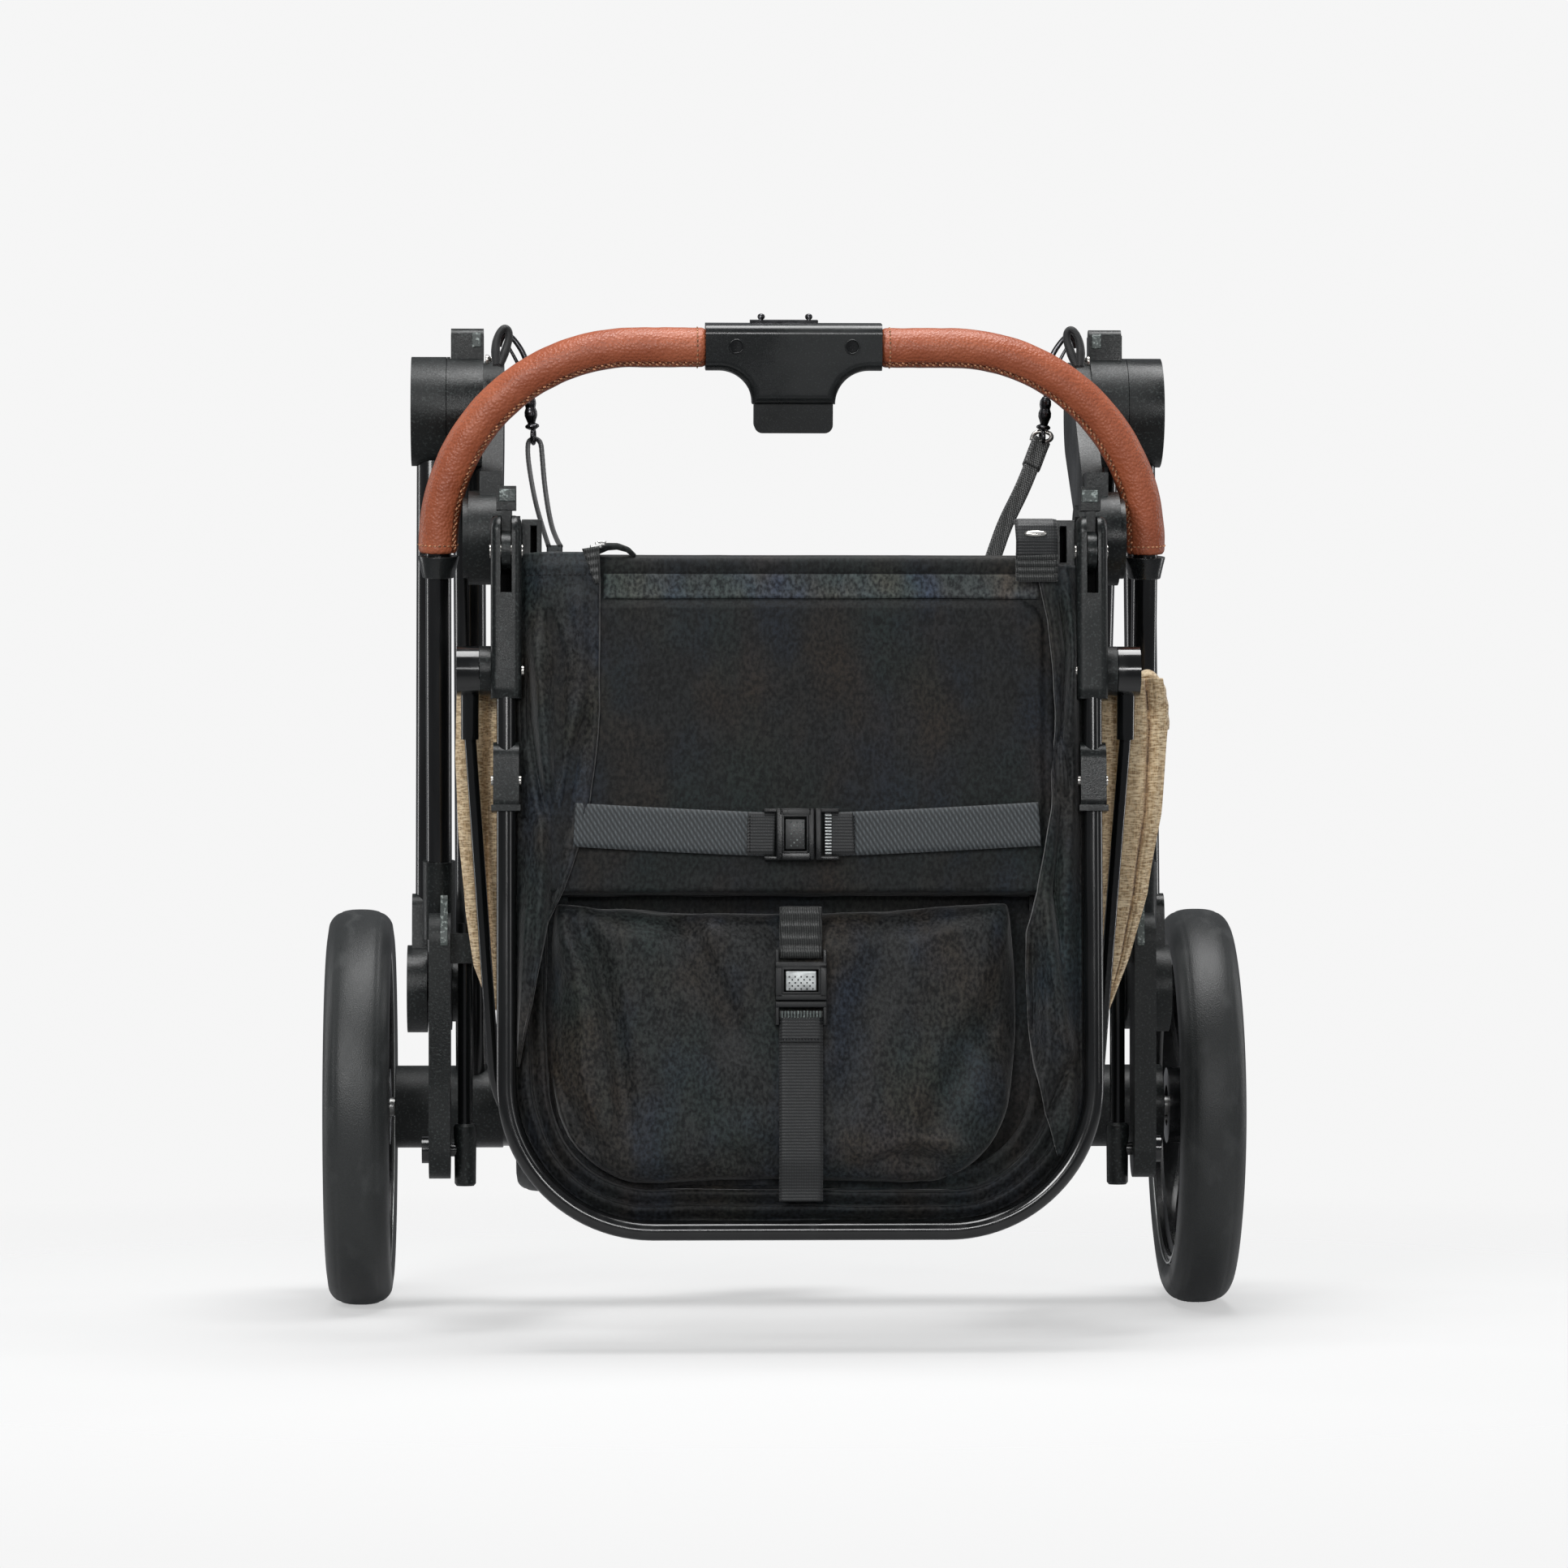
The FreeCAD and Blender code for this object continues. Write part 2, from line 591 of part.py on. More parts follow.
low_sleeves = []
rivets = []
receivers = []
knuckles = []
for name, side in SIDES:
    x = side * half
    sleeve = side_plate(side, half - 9, half + 9, (0, 10), 10.7, (0, -80), 10.7, SEAT)
    foot_cut = block(mirrored(side, half - 20, half + 20), (-20, 20), (-100, -86.5), SEAT)
    blank = cut(sleeve, foot_cut)
    blank = rounded(blank, 4.5, lambda edge: edge.Length > 85)
    slot = block(mirrored(side, half - 3.3, half + 3.3), (-20, 20), (-25, 40), SEAT)
    pivot_pin = across(side, half - 9.6, half + 9.6, (0, 0), 4, SEAT)
    fork = cut(blank, slot, u_solid, pivot_pin)
    keep("fork_sleeve_" + name, fork)
    low = side_plate(side, half - 7.5, half + 7.5, (0, -122), 10.5, (0, -145), 10.5, SEAT)
    lip_ring = block(mirrored(side, half - 8.5, half + 8.5), (-11.5, 11.5), (-152, -148.5), SEAT)
    low_trim = block(mirrored(side, half - 20, half + 20), (-20, 20), (-160, -152), SEAT)
    low_sleeves.append(cut(fuse(low, lip_ring), low_trim, u_solid))
    rivets.append(pivot_pin)
    for level in (-70, -134):
        near = half + (9 if level > -100 else 7.5)
        if level < -100:
            rivets.append(across(side, near, near + 1.2, (3, level), 3, SEAT))
        rivets.append(across(side, half - (near - half) - 1.2, half - (near - half), (3, level), 3, SEAT))
    holder = block(mirrored(side, 150, half - 9), (-24, -4), (-14, 19), SEAT)
    holder_slot = block(mirrored(side, 153, 156.3), (-30, 0), (-6, 15), SEAT)
    receivers.append(cut(holder, holder_slot))
    knuckle = across(side, half + 9, 186, STAY_PIVOT, 14.5, SEAT)
    knuckles.append(fuse(knuckle, across(side, 185, 199, STAY_PIVOT, 5, SEAT)))
keep("lower_sleeves", group(*low_sleeves))
keep("sleeve_rivets", group(*rivets))
keep("receiver_blocks", group(*receivers))
keep("stay_knuckles", group(*knuckles))

# folded cabin, as plain soft solids
panel_outline = rounded_path([flat(-149, -3), flat(-149, -203), flat(149, -203), flat(149, -3)], 8, True)
keep("back_panel", front_pad(panel_outline, 6, 56, SEAT))
pouch_corners = [flat(-147, -205), flat(-147, -372), flat(127, -372), flat(127, -205)]
keep("lower_pouch", front_pad(rounded_path(pouch_corners, 62, True), 8, 50, SEAT))

strap_wide = value("webbing_width")
strap_thick = value("webbing_thickness")
panel_face = 6
pouch_face = 8
across_level = -161
strap_a = block((-128, 136), (panel_face, panel_face + strap_thick), (across_level - strap_wide / 2, across_level + strap_wide / 2), SEAT)
strap_b = block((-strap_wide / 2, strap_wide / 2), (pouch_face, pouch_face + strap_thick), (-368, -212), SEAT)
keep("webbing", group(strap_a, strap_b))

# buckles: a frame with a pocket for the sprung push button
buckle_deep = 7


def buckle(x, up, face, button_x, button_up):
    case = block(x, (face, face + buckle_deep), up, SEAT)
    case = rounded(case, 2, lambda edge: abs(edge.Length - buckle_deep) < 0.01)
    room = block((button_x[0] - 0.3, button_x[1] + 0.3), (face + 2, face + 20),
                 (button_up[0] - 0.3, button_up[1] + 0.3), SEAT)
    button = block(button_x, (face + 4, face + buckle_deep + 1), button_up, SEAT)
    return cut(case, room), button


case_a, button_a = buckle((-18.7, 21.3), (-178, -147.5), panel_face + strap_thick, (-9, 5), (-173, -153))
case_b, button_b = buckle((-14.6, 14.6), (-275, -227), pouch_face + strap_thick, (-8.7, 8.7), (-256.5, -244.5))
keep("buckles", group(case_a, case_b))
keep("buckle_button_across", button_a)
keep("buckle_button_down", button_b)

# ---- cabin bow: turns about the stay knuckles -------------------------------------------------
bow_top = -38
bow_drop = 253
bow_high = 191.8
bow_route = [flat(-bow_high, 0), flat(-174.5, -bow_drop), flat(174.5, -bow_drop), flat(bow_high, 0)]
bow_pipe = pipe(rounded_path(bow_route, 60), ring_section(-bow_high, "bow_radius"), frame(0, bow_top, 0, BOW))
bow_pieces = [bow_pipe]
bow_bores = []
for name, side in SIDES:
    bow_pieces.append(across(side, 186.4, 199.5, (0, 0), 14.5, BOW))
    bow_pieces.append(strut((side * bow_high, 0, -40), (side * bow_high, 0, -8), 5.25, BOW))
    bow_bores.append(across(side, 180, 205, (0, 0), 5 + value("running_gap"), BOW))
keep("cabin_bow", cut(fuse(*bow_pieces), *bow_bores))

side_pads = []
for name, side in SIDES:
    high = -65 if side < 0 else -55
    wedge = [flat(side * 173, high), flat(side * 188.5, high), flat(side * 188.5, high - 90),
             flat(side * 177, -262), flat(side * 173, -262)]
    side_pads.append(front_pad(closed_lines(wedge), -70, 34, SEAT))
keep("side_panels", group(*side_pads))

# ---- front frame: turns about the leg cross tube ----------------------------------------------
steer = (math.cos(math.radians(CASTER_TILT)), math.sin(math.radians(CASTER_TILT)))
trail = 25.0
axis_foot = (FRONT_WHEEL[0] + trail * steer[1], FRONT_WHEEL[1] - trail * steer[0])


def on_steer(distance):
    """Side-view point on the steering axis."""
    return (axis_foot[0] + steer[0] * distance, axis_foot[1] + steer[1] * distance)


legs = []
for name, side in SIDES:
    x = side * value("small_centre")
    lug = across(side, 136, 164, LEG_PIVOT, 13)
    socket = strut((x, *on_steer(97)), (x, *on_steer(128)), 14)
    leg_tube = tube((x, *LEG_PIVOT), (x, *on_steer(116)), 9)
    pivot_bore = across(side, 130, 170, LEG_PIVOT, 7 + value("running_gap"))
    king_bore = strut((x, *on_steer(90)), (x, *on_steer(122)), 5 + value("running_gap"))
    legs.append((lug, socket, leg_tube, pivot_bore, king_bore))
brace = strut((-value("small_centre"), 218, 300), (value("small_centre"), 218, 300), 7)
solids = [piece for leg in legs for piece in leg[:3]] + [brace]
keep("front_legs", cut(fuse(*solids), *[bore for leg in legs for bore in leg[3:]]))

for name, side in SIDES:
    x = side * value("small_centre")
    king_pin = strut((x, *on_steer(86)), (x, *on_steer(120)), 5)
    crown = strut((x, *on_steer(82)), (x, *on_steer(96.5)), 13)
    bridge = side_plate(side, 127, 173, on_steer(87), 6, on_steer(90), 5.5)
    arms = [side_plate(side, near, near + 4, on_steer(88), 7, FRONT_WHEEL, 9) for near in (127, 169)]
    axle = across(side, 127, 173, FRONT_WHEEL, 4)
    wheel_room = across(side, 132.5, 167.5, FRONT_WHEEL, value("small_radius") + 2.5)
    fork_crown = cut(fuse(crown, bridge), wheel_room)
    keep("caster_fork_" + name, fuse(king_pin, fork_crown, *arms, axle))
    centre, width = value("small_centre"), value("small_width")
    tyre("front_tyre_" + name, side, centre, value("small_radius"), width, value("small_bead"), FRONT_WHEEL)
    bore = 4 + value("running_gap")
    rim("front_rim_" + name, side, centre, width, value("small_bead"), 14, bore, 5, FRONT_WHEEL)

# ---- snap hooks and tethers ----------------------------------------------------------------------
hooks = []
for name, side in SIDES:
    swivel = strut((side * 158, 152, 546), (side * 170, 150, 588), 4)
    snap = strut((side * 170, 150, 588), (side * 177, 146, 606), 4)
    hooks.append(fuse(swivel, snap))
keep("snap_hooks", group(*hooks))

CORD = [(-146, 262, 470), (-149, 236, 480), (-154, 207, 498), (-157.5, 180, 518), (-159, 161, 531),
        (-158.5, 148, 540), (-151, 146, 540), (-150, 158, 528), (-148.5, 177, 509), (-145, 206, 486),
        (-141, 240, 474), (-139, 262, 470)]


def cord(route, radius):
    """A round cord: straight runs joined by the largest tangent arcs that the runs allow."""
    places = [WORLD.multVec(point(place)) for place in route]
    edges = []
    start = places[0]
    radii = []
    for before, at, after in zip(places, places[1:], places[2:]):
        back = (before - at).normalize()
        ahead = (after - at).normalize()
        half_turn = (math.pi - back.getAngle(ahead)) / 2
        reach = 0.45 * min((before - at).Length, (after - at).Length)
        arc_radius = reach / math.tan(half_turn)
        inward = (back + ahead).normalize() * (arc_radius / math.cos(half_turn) - arc_radius)
        edges.append(Part.LineSegment(start, at + back * reach).toShape())
        edges.append(Part.Arc(at + back * reach, at + inward, at + ahead * reach).toShape())
        start = at + ahead * reach
        radii.append(arc_radius)
    edges.append(Part.LineSegment(start, places[-1]).toShape())
    spine = Part.Wire(edges)
    section = Part.Wire(Part.Circle(places[0], places[1] - places[0], radius).toShape())
    solid = spine.makePipeShell([section], True, False)
    ideal = math.pi * radius ** 2 * spine.Length
    print("cord radii", [round(r, 1) for r in radii], "length %.1f" % spine.Length, "volume", solid.Volume / ideal)
    return solid


cord_node = doc.addObject("Part::Feature", "cord")
cord_node.Shape = cord(CORD, 1.5)
keep("tether_cord", cord_node)

strap_start, strap_end = point((146, 152, 540)), point((120, 262, 470))
strap_run = strap_end - strap_start
strap_place = FreeCAD.Placement(strap_start, FreeCAD.Rotation(FreeCAD.Vector(0, 0, 1), strap_run))
strap_box = FreeCAD.Placement(FreeCAD.Vector(-0.75, -5, 0), FreeCAD.Rotation())
strap_where = WORLD.multiply(strap_place).multiply(strap_box)
keep("tether_strap", add("Part::Box", strap_where, Length=1.5, Width=10, Height=strap_run.Length))

# ---- checks and export ----------------------------------------------------------------------------
doc.recompute()
faults = [item.Name for item in doc.Objects if {"Invalid", "Error"} & set(item.State)]
faults += [item.Label for item in nodes if item.Shape.isNull() or not item.Shape.isValid()]
if faults:
    raise SystemExit("failed: " + ", ".join(faults))
os.makedirs("parts", exist_ok=True)
for item in nodes:
    item.Shape.exportStep("parts/%s.step" % item.Label)
box = FreeCAD.BoundBox()
for item in nodes:
    box.add(item.Shape.BoundBox)
print(len(nodes), "nodes", box)
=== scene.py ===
"""Looks of a folded pet stroller: covers, straps, buckles, hooks, leather and finishes on its frame."""

import math

import bmesh
import bpy
from mathutils import Matrix, Vector, noise


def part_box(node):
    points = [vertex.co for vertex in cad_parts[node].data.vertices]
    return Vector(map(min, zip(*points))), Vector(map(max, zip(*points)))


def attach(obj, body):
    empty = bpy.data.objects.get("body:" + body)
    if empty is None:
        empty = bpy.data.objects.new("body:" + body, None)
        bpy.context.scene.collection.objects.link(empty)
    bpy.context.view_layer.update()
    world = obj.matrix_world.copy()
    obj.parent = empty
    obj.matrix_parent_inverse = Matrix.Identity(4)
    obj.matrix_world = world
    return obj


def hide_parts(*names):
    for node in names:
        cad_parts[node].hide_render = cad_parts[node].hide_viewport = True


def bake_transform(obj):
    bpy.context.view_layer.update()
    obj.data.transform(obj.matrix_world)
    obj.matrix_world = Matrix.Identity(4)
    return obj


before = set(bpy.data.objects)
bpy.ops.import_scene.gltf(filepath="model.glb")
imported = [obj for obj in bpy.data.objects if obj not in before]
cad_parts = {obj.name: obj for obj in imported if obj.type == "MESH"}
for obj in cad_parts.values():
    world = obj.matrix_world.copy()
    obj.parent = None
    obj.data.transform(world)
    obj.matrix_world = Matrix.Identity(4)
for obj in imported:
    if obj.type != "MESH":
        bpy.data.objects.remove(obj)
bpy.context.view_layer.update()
SCENE = bpy.context.scene
MM = 0.001
SIDES = (("left", -1), ("right", 1))
AXLE_DEPTH = 114.1  # the row's Y of the rear axle, in mm
WEBBING_WIDTH = 25.4

# ---- places ----


def place(x, front, up):
    """A point in the row frame, from mm to the right, in front of the rear axle and above the floor."""
    return Vector((x, AXLE_DEPTH - front, up)) * MM


def leaning(front, up, degrees):
    """Matrix of a frame that turns about a pivot of the stroller's side view."""
    return Matrix.Translation(place(0, front, up)) @ Matrix.Rotation(math.radians(degrees), 4, "X")


SEAT = leaning(320, 465, -3.43)
HANDLE = leaning(192, 283, 7.4)
ROW = leaning(0, 0, 0)
SEAT_FRONT = SEAT.to_3x3() @ Vector((0, -1, 0))
HANDLE_FRONT = HANDLE.to_3x3() @ Vector((0, -1, 0))


def at(base, x, front, up):
    """A point given in millimetres in a leaning frame."""
    return base @ (Vector((x, -front, up)) * MM)


def smooth(value, low, high):
    """0 below low, 1 above high, and an even turn between them."""
    t = max(0.0, min(1.0, (value - low) / (high - low)))
    return t * t * (3 - 2 * t)


def ripple(x, y, z=0.0, size=40.0):
    """Even noise from -1 to 1 with features of about that many millimetres."""
    return noise.noise(Vector((x, y, z)) / size)


# ---- finishes ----


class Finish:
    """A Principled material and the nodes that feed it."""

    def __init__(self, name, colour, roughness, **sockets):
        self.material = bpy.data.materials.new(name)
        self.material.use_nodes = True
        self.tree = self.material.node_tree
        self.shader = self.tree.nodes["Principled BSDF"]
        self.shader.inputs["Base Color"].default_value = (*colour, 1)
        self.shader.inputs["Roughness"].default_value = roughness
        for socket, value in sockets.items():
            self.shader.inputs[socket.replace("_", " ")].default_value = value
        self.where = self.node("TexCoord").outputs["Object"]

    def node(self, kind, inputs=None, **settings):
        made = self.tree.nodes.new("ShaderNode" + kind)
        for key, value in settings.items():
            setattr(made, key, value)
        for key, value in (inputs or {}).items():
            if isinstance(value, bpy.types.NodeSocket):
                self.tree.links.new(value, made.inputs[key])
            else:
                made.inputs[key].default_value = value
        return made

    def noise(self, size, detail=3.0, stretch=(1, 1, 1)):
        """Noise from 0 to 1 with features of size mm, stretched by that many times along each axis."""
        scale = [1000 / (size * s) for s in stretch]
        vector = self.node("Mapping", {"Vector": self.where, "Scale": scale}).outputs[0]
        return self.node("TexNoise", {"Vector": vector, "Scale": 1.0, "Detail": detail}).outputs[0]

    def waves(self, pitch, turn=0.0, direction="X", warp=0.0):
        """Bands with that pitch in millimetres, turned in the front plane."""
        vector = self.node("Mapping", {"Vector": self.where,
            "Rotation": (0, math.radians(turn), 0)}).outputs[0]
        inputs = {"Vector": vector, "Scale": 2 * math.pi / (20 * pitch * MM), "Distortion": warp}
        return self.node("TexWave", inputs, wave_type="BANDS", bands_direction=direction).outputs["Fac"]

    def cells(self, size):
        """Distance to the nearest of scattered points about size millimetres apart."""
        vector = self.node("Mapping", {"Vector": self.where, "Scale": [1000 / size] * 3}).outputs[0]
        return self.node("TexVoronoi", {"Vector": vector, "Scale": 1.0}).outputs["Distance"]

    def span(self, value, low, high, out_low=0.0, out_high=1.0):
        inputs = {"Value": value, "From Min": low, "From Max": high, "To Min": out_low, "To Max": out_high}
        return self.node("MapRange", inputs).outputs[0]

    def math(self, operation, a, b):
        return self.node("Math", {0: a, 1: b}, operation=operation).outputs[0]

    def mix(self, factor, a, b):
        inputs = {0: factor, 6: a if isinstance(a, bpy.types.NodeSocket) else (*a, 1)}
        inputs[7] = b if isinstance(b, bpy.types.NodeSocket) else (*b, 1)
        return self.node("Mix", inputs, data_type="RGBA").outputs[2]

    def feed(self, socket, value):
        self.tree.links.new(value, self.shader.inputs[socket])

    def bump(self, height, depth, strength=0.6):
        """Raises the surface by depth millimetres where height is 1."""
        made = self.node("Bump", {"Height": height, "Strength": strength, "Distance": depth * MM})
        self.feed("Normal", made.outputs[0])


def moulded(name, colour, light, roughness, grain=1.1, depth=0.16, coat=0.0):
    """Moulded plastic: a fine spark texture, pale specks on it, and rubbed patches."""
    made = Finish(name, colour, roughness, Specular_IOR_Level=0.36, Coat_Weight=coat, Coat_Roughness=0.2)
    spark = made.noise(grain, 3)
    specks = made.span(made.noise(grain * 1.3, 2), 0.54, 0.72)
    patches = made.span(made.noise(60, 4), 0.4, 0.7)
    base = made.mix(patches, [c * 0.8 for c in colour], [c * 1.3 for c in colour])
    made.feed("Base Color", made.mix(specks, base, light))
    made.feed("Roughness", made.span(made.math("ADD", spark, patches), 0.4, 1.3, roughness - 0.1,
        roughness + 0.14))
    made.bump(spark, depth)
    return made.material


def coated(name, colour, roughness, metallic=0.0, depth=0.03):
    """Gloss powder coat on a tube: a faint orange peel, dust and rubbed streaks along it."""
    made = Finish(name, colour, roughness, Metallic=metallic, Coat_Weight=0.4, Coat_Roughness=0.12)
    streaks = made.span(made.noise(9, 4, (1, 1, 9)), 0.45, 0.75)
    made.feed("Base Color", made.mix(streaks, colour, [c * 1.7 + 0.002 for c in colour]))
    made.feed("Roughness", made.span(streaks, 0, 1, roughness, roughness + 0.12))
    made.bump(made.noise(2.2, 2), depth, 0.35)
    return made.material


def bare_metal(name, colour, roughness):
    """Plated metal with fine scratches and dull spots."""
    made = Finish(name, colour, roughness, Metallic=1.0)
    scratches = made.noise(1.2, 4, (6, 1, 1))
    made.feed("Roughness", made.span(scratches, 0.3, 0.75, roughness, roughness + 0.22))
    dull = made.span(made.noise(7, 4), 0.45, 0.7)
    made.feed("Base Color", made.mix(dull, colour, [c * 0.6 for c in colour]))
    made.bump(scratches, 0.02, 0.3)
    return made.material


def woven(name, colour, painted_sheen_tints, pitch, roughness, depth=0.12, sheen=0.2):
    """Plain-weave cloth: two crossed threads, and slow coloured tints that drift over it: a painted
    iridescent sheen, as a coated lining shows under light.
    """
    made = Finish(name, colour, roughness, Sheen_Weight=sheen, Sheen_Roughness=0.35,
        Specular_IOR_Level=0.22)
    warp = made.waves(pitch, 0, "X", 0.6)
    weft = made.waves(pitch, 0, "Z", 0.6)
    threads = made.math("MAXIMUM", warp, weft)
    slub = made.span(made.noise(1.9, 2, (1, 1, 1.4)), 0.36, 0.66)
    base = made.mix(0.0, colour, colour)
    # Painted sheen: each tint is an iridescent sheen painted into the base colour in slow patches.
    for index, tint in enumerate(painted_sheen_tints):
        drift = made.span(made.noise(30 + 13 * index, 4, (1, 1, 1.6)), 0.46, 0.70, 0.0, 0.5)
        base = made.mix(drift, base, tint)
    speckle = made.mix(slub, (0.35, 0.35, 0.37), (1.75, 1.72, 1.70))
    base = made.node("Mix", {0: 1.0, 6: base, 7: speckle}, data_type="RGBA",
        blend_type="MULTIPLY").outputs[2]
    made.feed("Base Color", base)
    made.feed("Roughness", made.span(slub, 0, 1, roughness - 0.05, roughness + 0.08))
    made.bump(made.math("ADD", threads, slub), depth)
    return made.material


def heather(name, dark, middle, pale, roughness):
    """Melange canvas: threads of three shades crossing one another, with slubs."""
    made = Finish(name, middle, roughness, Sheen_Weight=0.25, Sheen_Roughness=0.5)
    along = made.noise(0.9, 3, (1, 1, 5))
    across = made.noise(0.9, 3, (5, 5, 1))
    first = made.mix(made.span(along, 0.4, 0.6), dark, middle)
    both = made.mix(made.span(across, 0.42, 0.62), first, pale)
    made.feed("Base Color", made.mix(made.span(made.noise(45, 3), 0.35, 0.75, 0, 0.35), both, middle))
    threads = made.math("MAXIMUM", made.waves(1.1, 0, "X", 1.0), made.waves(1.1, 0, "Z", 1.0))
    made.bump(made.math("ADD", threads, along), 0.22)
    return made.material


def twilled(name, colour, light, pitch, turn, roughness):
    """Strap webbing: slanting ribs of thread whose tops are painted lighter, a painted highlight, and worn
    fibres.
    """
    made = Finish(name, colour, roughness, Sheen_Weight=0.35, Sheen_Roughness=0.4)
    ribs = made.waves(pitch, turn, "X", 0.8)
    breaks = made.waves(pitch * 0.8, 0, "X", 0.5)
    tops = made.math("MULTIPLY", ribs, made.span(breaks, 0, 1, 0.45, 1))
    fuzz = made.span(made.noise(0.8, 3), 0.4, 0.7)
    rib_highlight = made.math("MULTIPLY", tops, made.span(fuzz, 0, 1, 0.5, 1))
    # Painted highlight: the rib tops are mixed toward the light colour.
    made.feed("Base Color", made.mix(rib_highlight, colour, light))
    made.feed("Roughness", made.span(fuzz, 0, 1, roughness - 0.08, roughness + 0.08))
    made.bump(tops, 0.3)
    return made.material


def tanned(name, colour, deep, pale):
    """Smooth leather: pebble grain between pores, darker creases, and a rubbed, paler crown."""
    made = Finish(name, colour, 0.42, Coat_Weight=0.12, Coat_Roughness=0.35)
    pebbles = made.cells(1.9)
    pores = made.span(pebbles, 0.25, 0.75)
    mottled = made.span(made.noise(16, 5), 0.35, 0.7)
    base = made.mix(mottled, colour, deep)
    base = made.mix(made.math("MULTIPLY", pores, 0.35), base, deep)
    rubbed = made.span(made.noise(55, 3), 0.5, 0.72, 0, 0.5)
    made.feed("Base Color", made.mix(rubbed, base, pale))
    made.feed("Roughness", made.span(pores, 0, 1, 0.36, 0.56))
    height = made.math("SUBTRACT", made.math("MULTIPLY", made.noise(4, 4), 0.8), pores)
    made.bump(height, 0.42, 0.6)
    return made.material


def rubber(name, colour, dust):
    """Matte tyre foam: open pores, dust in them and scuffs on the crown."""
    made = Finish(name, colour, 0.46, Specular_IOR_Level=0.6)
    pores = made.span(made.noise(0.8, 3), 0.35, 0.65)
    scuffs = made.span(made.noise(24, 6, (0.5, 1, 1)), 0.55, 0.75)
    base = made.mix(pores, [c * 0.7 for c in colour], colour)
    made.feed("Base Color", made.mix(made.math("MULTIPLY", scuffs, 0.35), base, dust))
    made.feed("Roughness", made.span(scuffs, 0, 1, 0.42, 0.6))
    made.bump(pores, 0.14, 0.5)
    return made.material


FINISHES = {"shell": moulded("shell_plastic", (0.0075, 0.0092, 0.0092), (0.036, 0.043, 0.042), 0.38),
    "housing": moulded("housing_plastic", (0.0085, 0.0100, 0.0102), (0.020, 0.024, 0.024), 0.3, 0.7, 0.03,
    0.5), "soft_touch": moulded("soft_touch_plastic", (0.0075, 0.0085, 0.0088), (0.022, 0.025, 0.025), 0.4,
    0.6, 0.05, 0.2), "pale": moulded("pale_speckled_plastic", (0.075, 0.090, 0.086), (0.42, 0.48, 0.46),
    0.35, 1.5, 0.3), "buckle": moulded("buckle_plastic", (0.007, 0.0075, 0.008), (0.02, 0.022, 0.022), 0.3,
    0.5, 0.03), "tube": coated("black_tube", (0.0035, 0.0038, 0.004), 0.16, depth=0.006),
    "rod": coated("black_rod", (0.0035, 0.004, 0.0042), 0.14, depth=0.006),
    "rim": coated("rim_gloss", (0.006, 0.0065, 0.007), 0.22),
    "silver_paint": coated("silver_line", (0.30, 0.31, 0.30), 0.3, 0.8),
    "steel": bare_metal("steel", (0.55, 0.55, 0.54), 0.28),
    "chrome": bare_metal("black_chrome", (0.09, 0.09, 0.095), 0.16),
    "bright": bare_metal("bright_rivet", (0.72, 0.70, 0.66), 0.2),
    "silver_button": bare_metal("silver_button", (0.46, 0.48, 0.48), 0.34),
    "rubber": rubber("tyre_rubber", (0.026, 0.029, 0.029), (0.095, 0.10, 0.10)),
    "leather": tanned("cognac_leather", (0.43, 0.112, 0.047), (0.34, 0.080, 0.031), (0.54, 0.165, 0.078)),
    "thread": woven("brown_thread", (0.52, 0.26, 0.14), (), 0.4, 0.7),
    "black_thread": woven("black_thread", (0.006, 0.006, 0.007), (), 0.4, 0.6),
    # The tint tuples of the lining, pouch and band cloths are painted iridescent sheen.
    "lining": woven("black_lining", (0.0105, 0.0115, 0.0118),
    ((0.0085, 0.0140, 0.0240), (0.0250, 0.0165, 0.0100), (0.0085, 0.0175, 0.0160)), 0.50, 0.44, 0.16, 0.2),
    # A brighter copy of the black lining, with stronger tints, for the pouch and side flaps, which are the
    # same cloth as the panel: painted sheen on their folds.
    "lining_painted_sheen": woven("lining_painted_sheen", (0.0185, 0.0198, 0.0200),
    ((0.0130, 0.0220, 0.0400), (0.0380, 0.0270, 0.0170), (0.0140, 0.0290, 0.0260)), 0.50, 0.40, 0.16, 0.3),
    "band": woven("band_lining", (0.042, 0.046, 0.047),
    ((0.024, 0.046, 0.100), (0.105, 0.070, 0.042), (0.032, 0.072, 0.062)), 0.45, 0.5, 0.12, 0.5),
    # Near-black and matte: painted shade inside the receiver and fork slots.
    "slot_shade": woven("painted_slot_shade", (0.0030, 0.0032, 0.0034), (), 0.9, 0.8, 0.1, 0.0),
    "canvas": heather("tan_melange", (0.27, 0.165, 0.075), (0.64, 0.45, 0.25), (0.95, 0.78, 0.52), 0.7),
    # The second colour of each webbing and of the cord is the painted highlight on its rib tops.
    "webbing": twilled("grey_webbing", (0.014, 0.017, 0.019), (0.125, 0.145, 0.155), 2.5, 32, 0.6),
    "webbing_plain": twilled("black_webbing", (0.005, 0.0056, 0.006), (0.030, 0.033, 0.035), 1.8, 90, 0.55),
    "webbing_coarse": twilled("coarse_webbing", (0.004, 0.0045, 0.005), (0.085, 0.09, 0.085), 1.35, 4,
    0.45), "cord": twilled("braided_cord", (0.005, 0.0055, 0.006), (0.03, 0.032, 0.034), 1.0, 55, 0.55)}

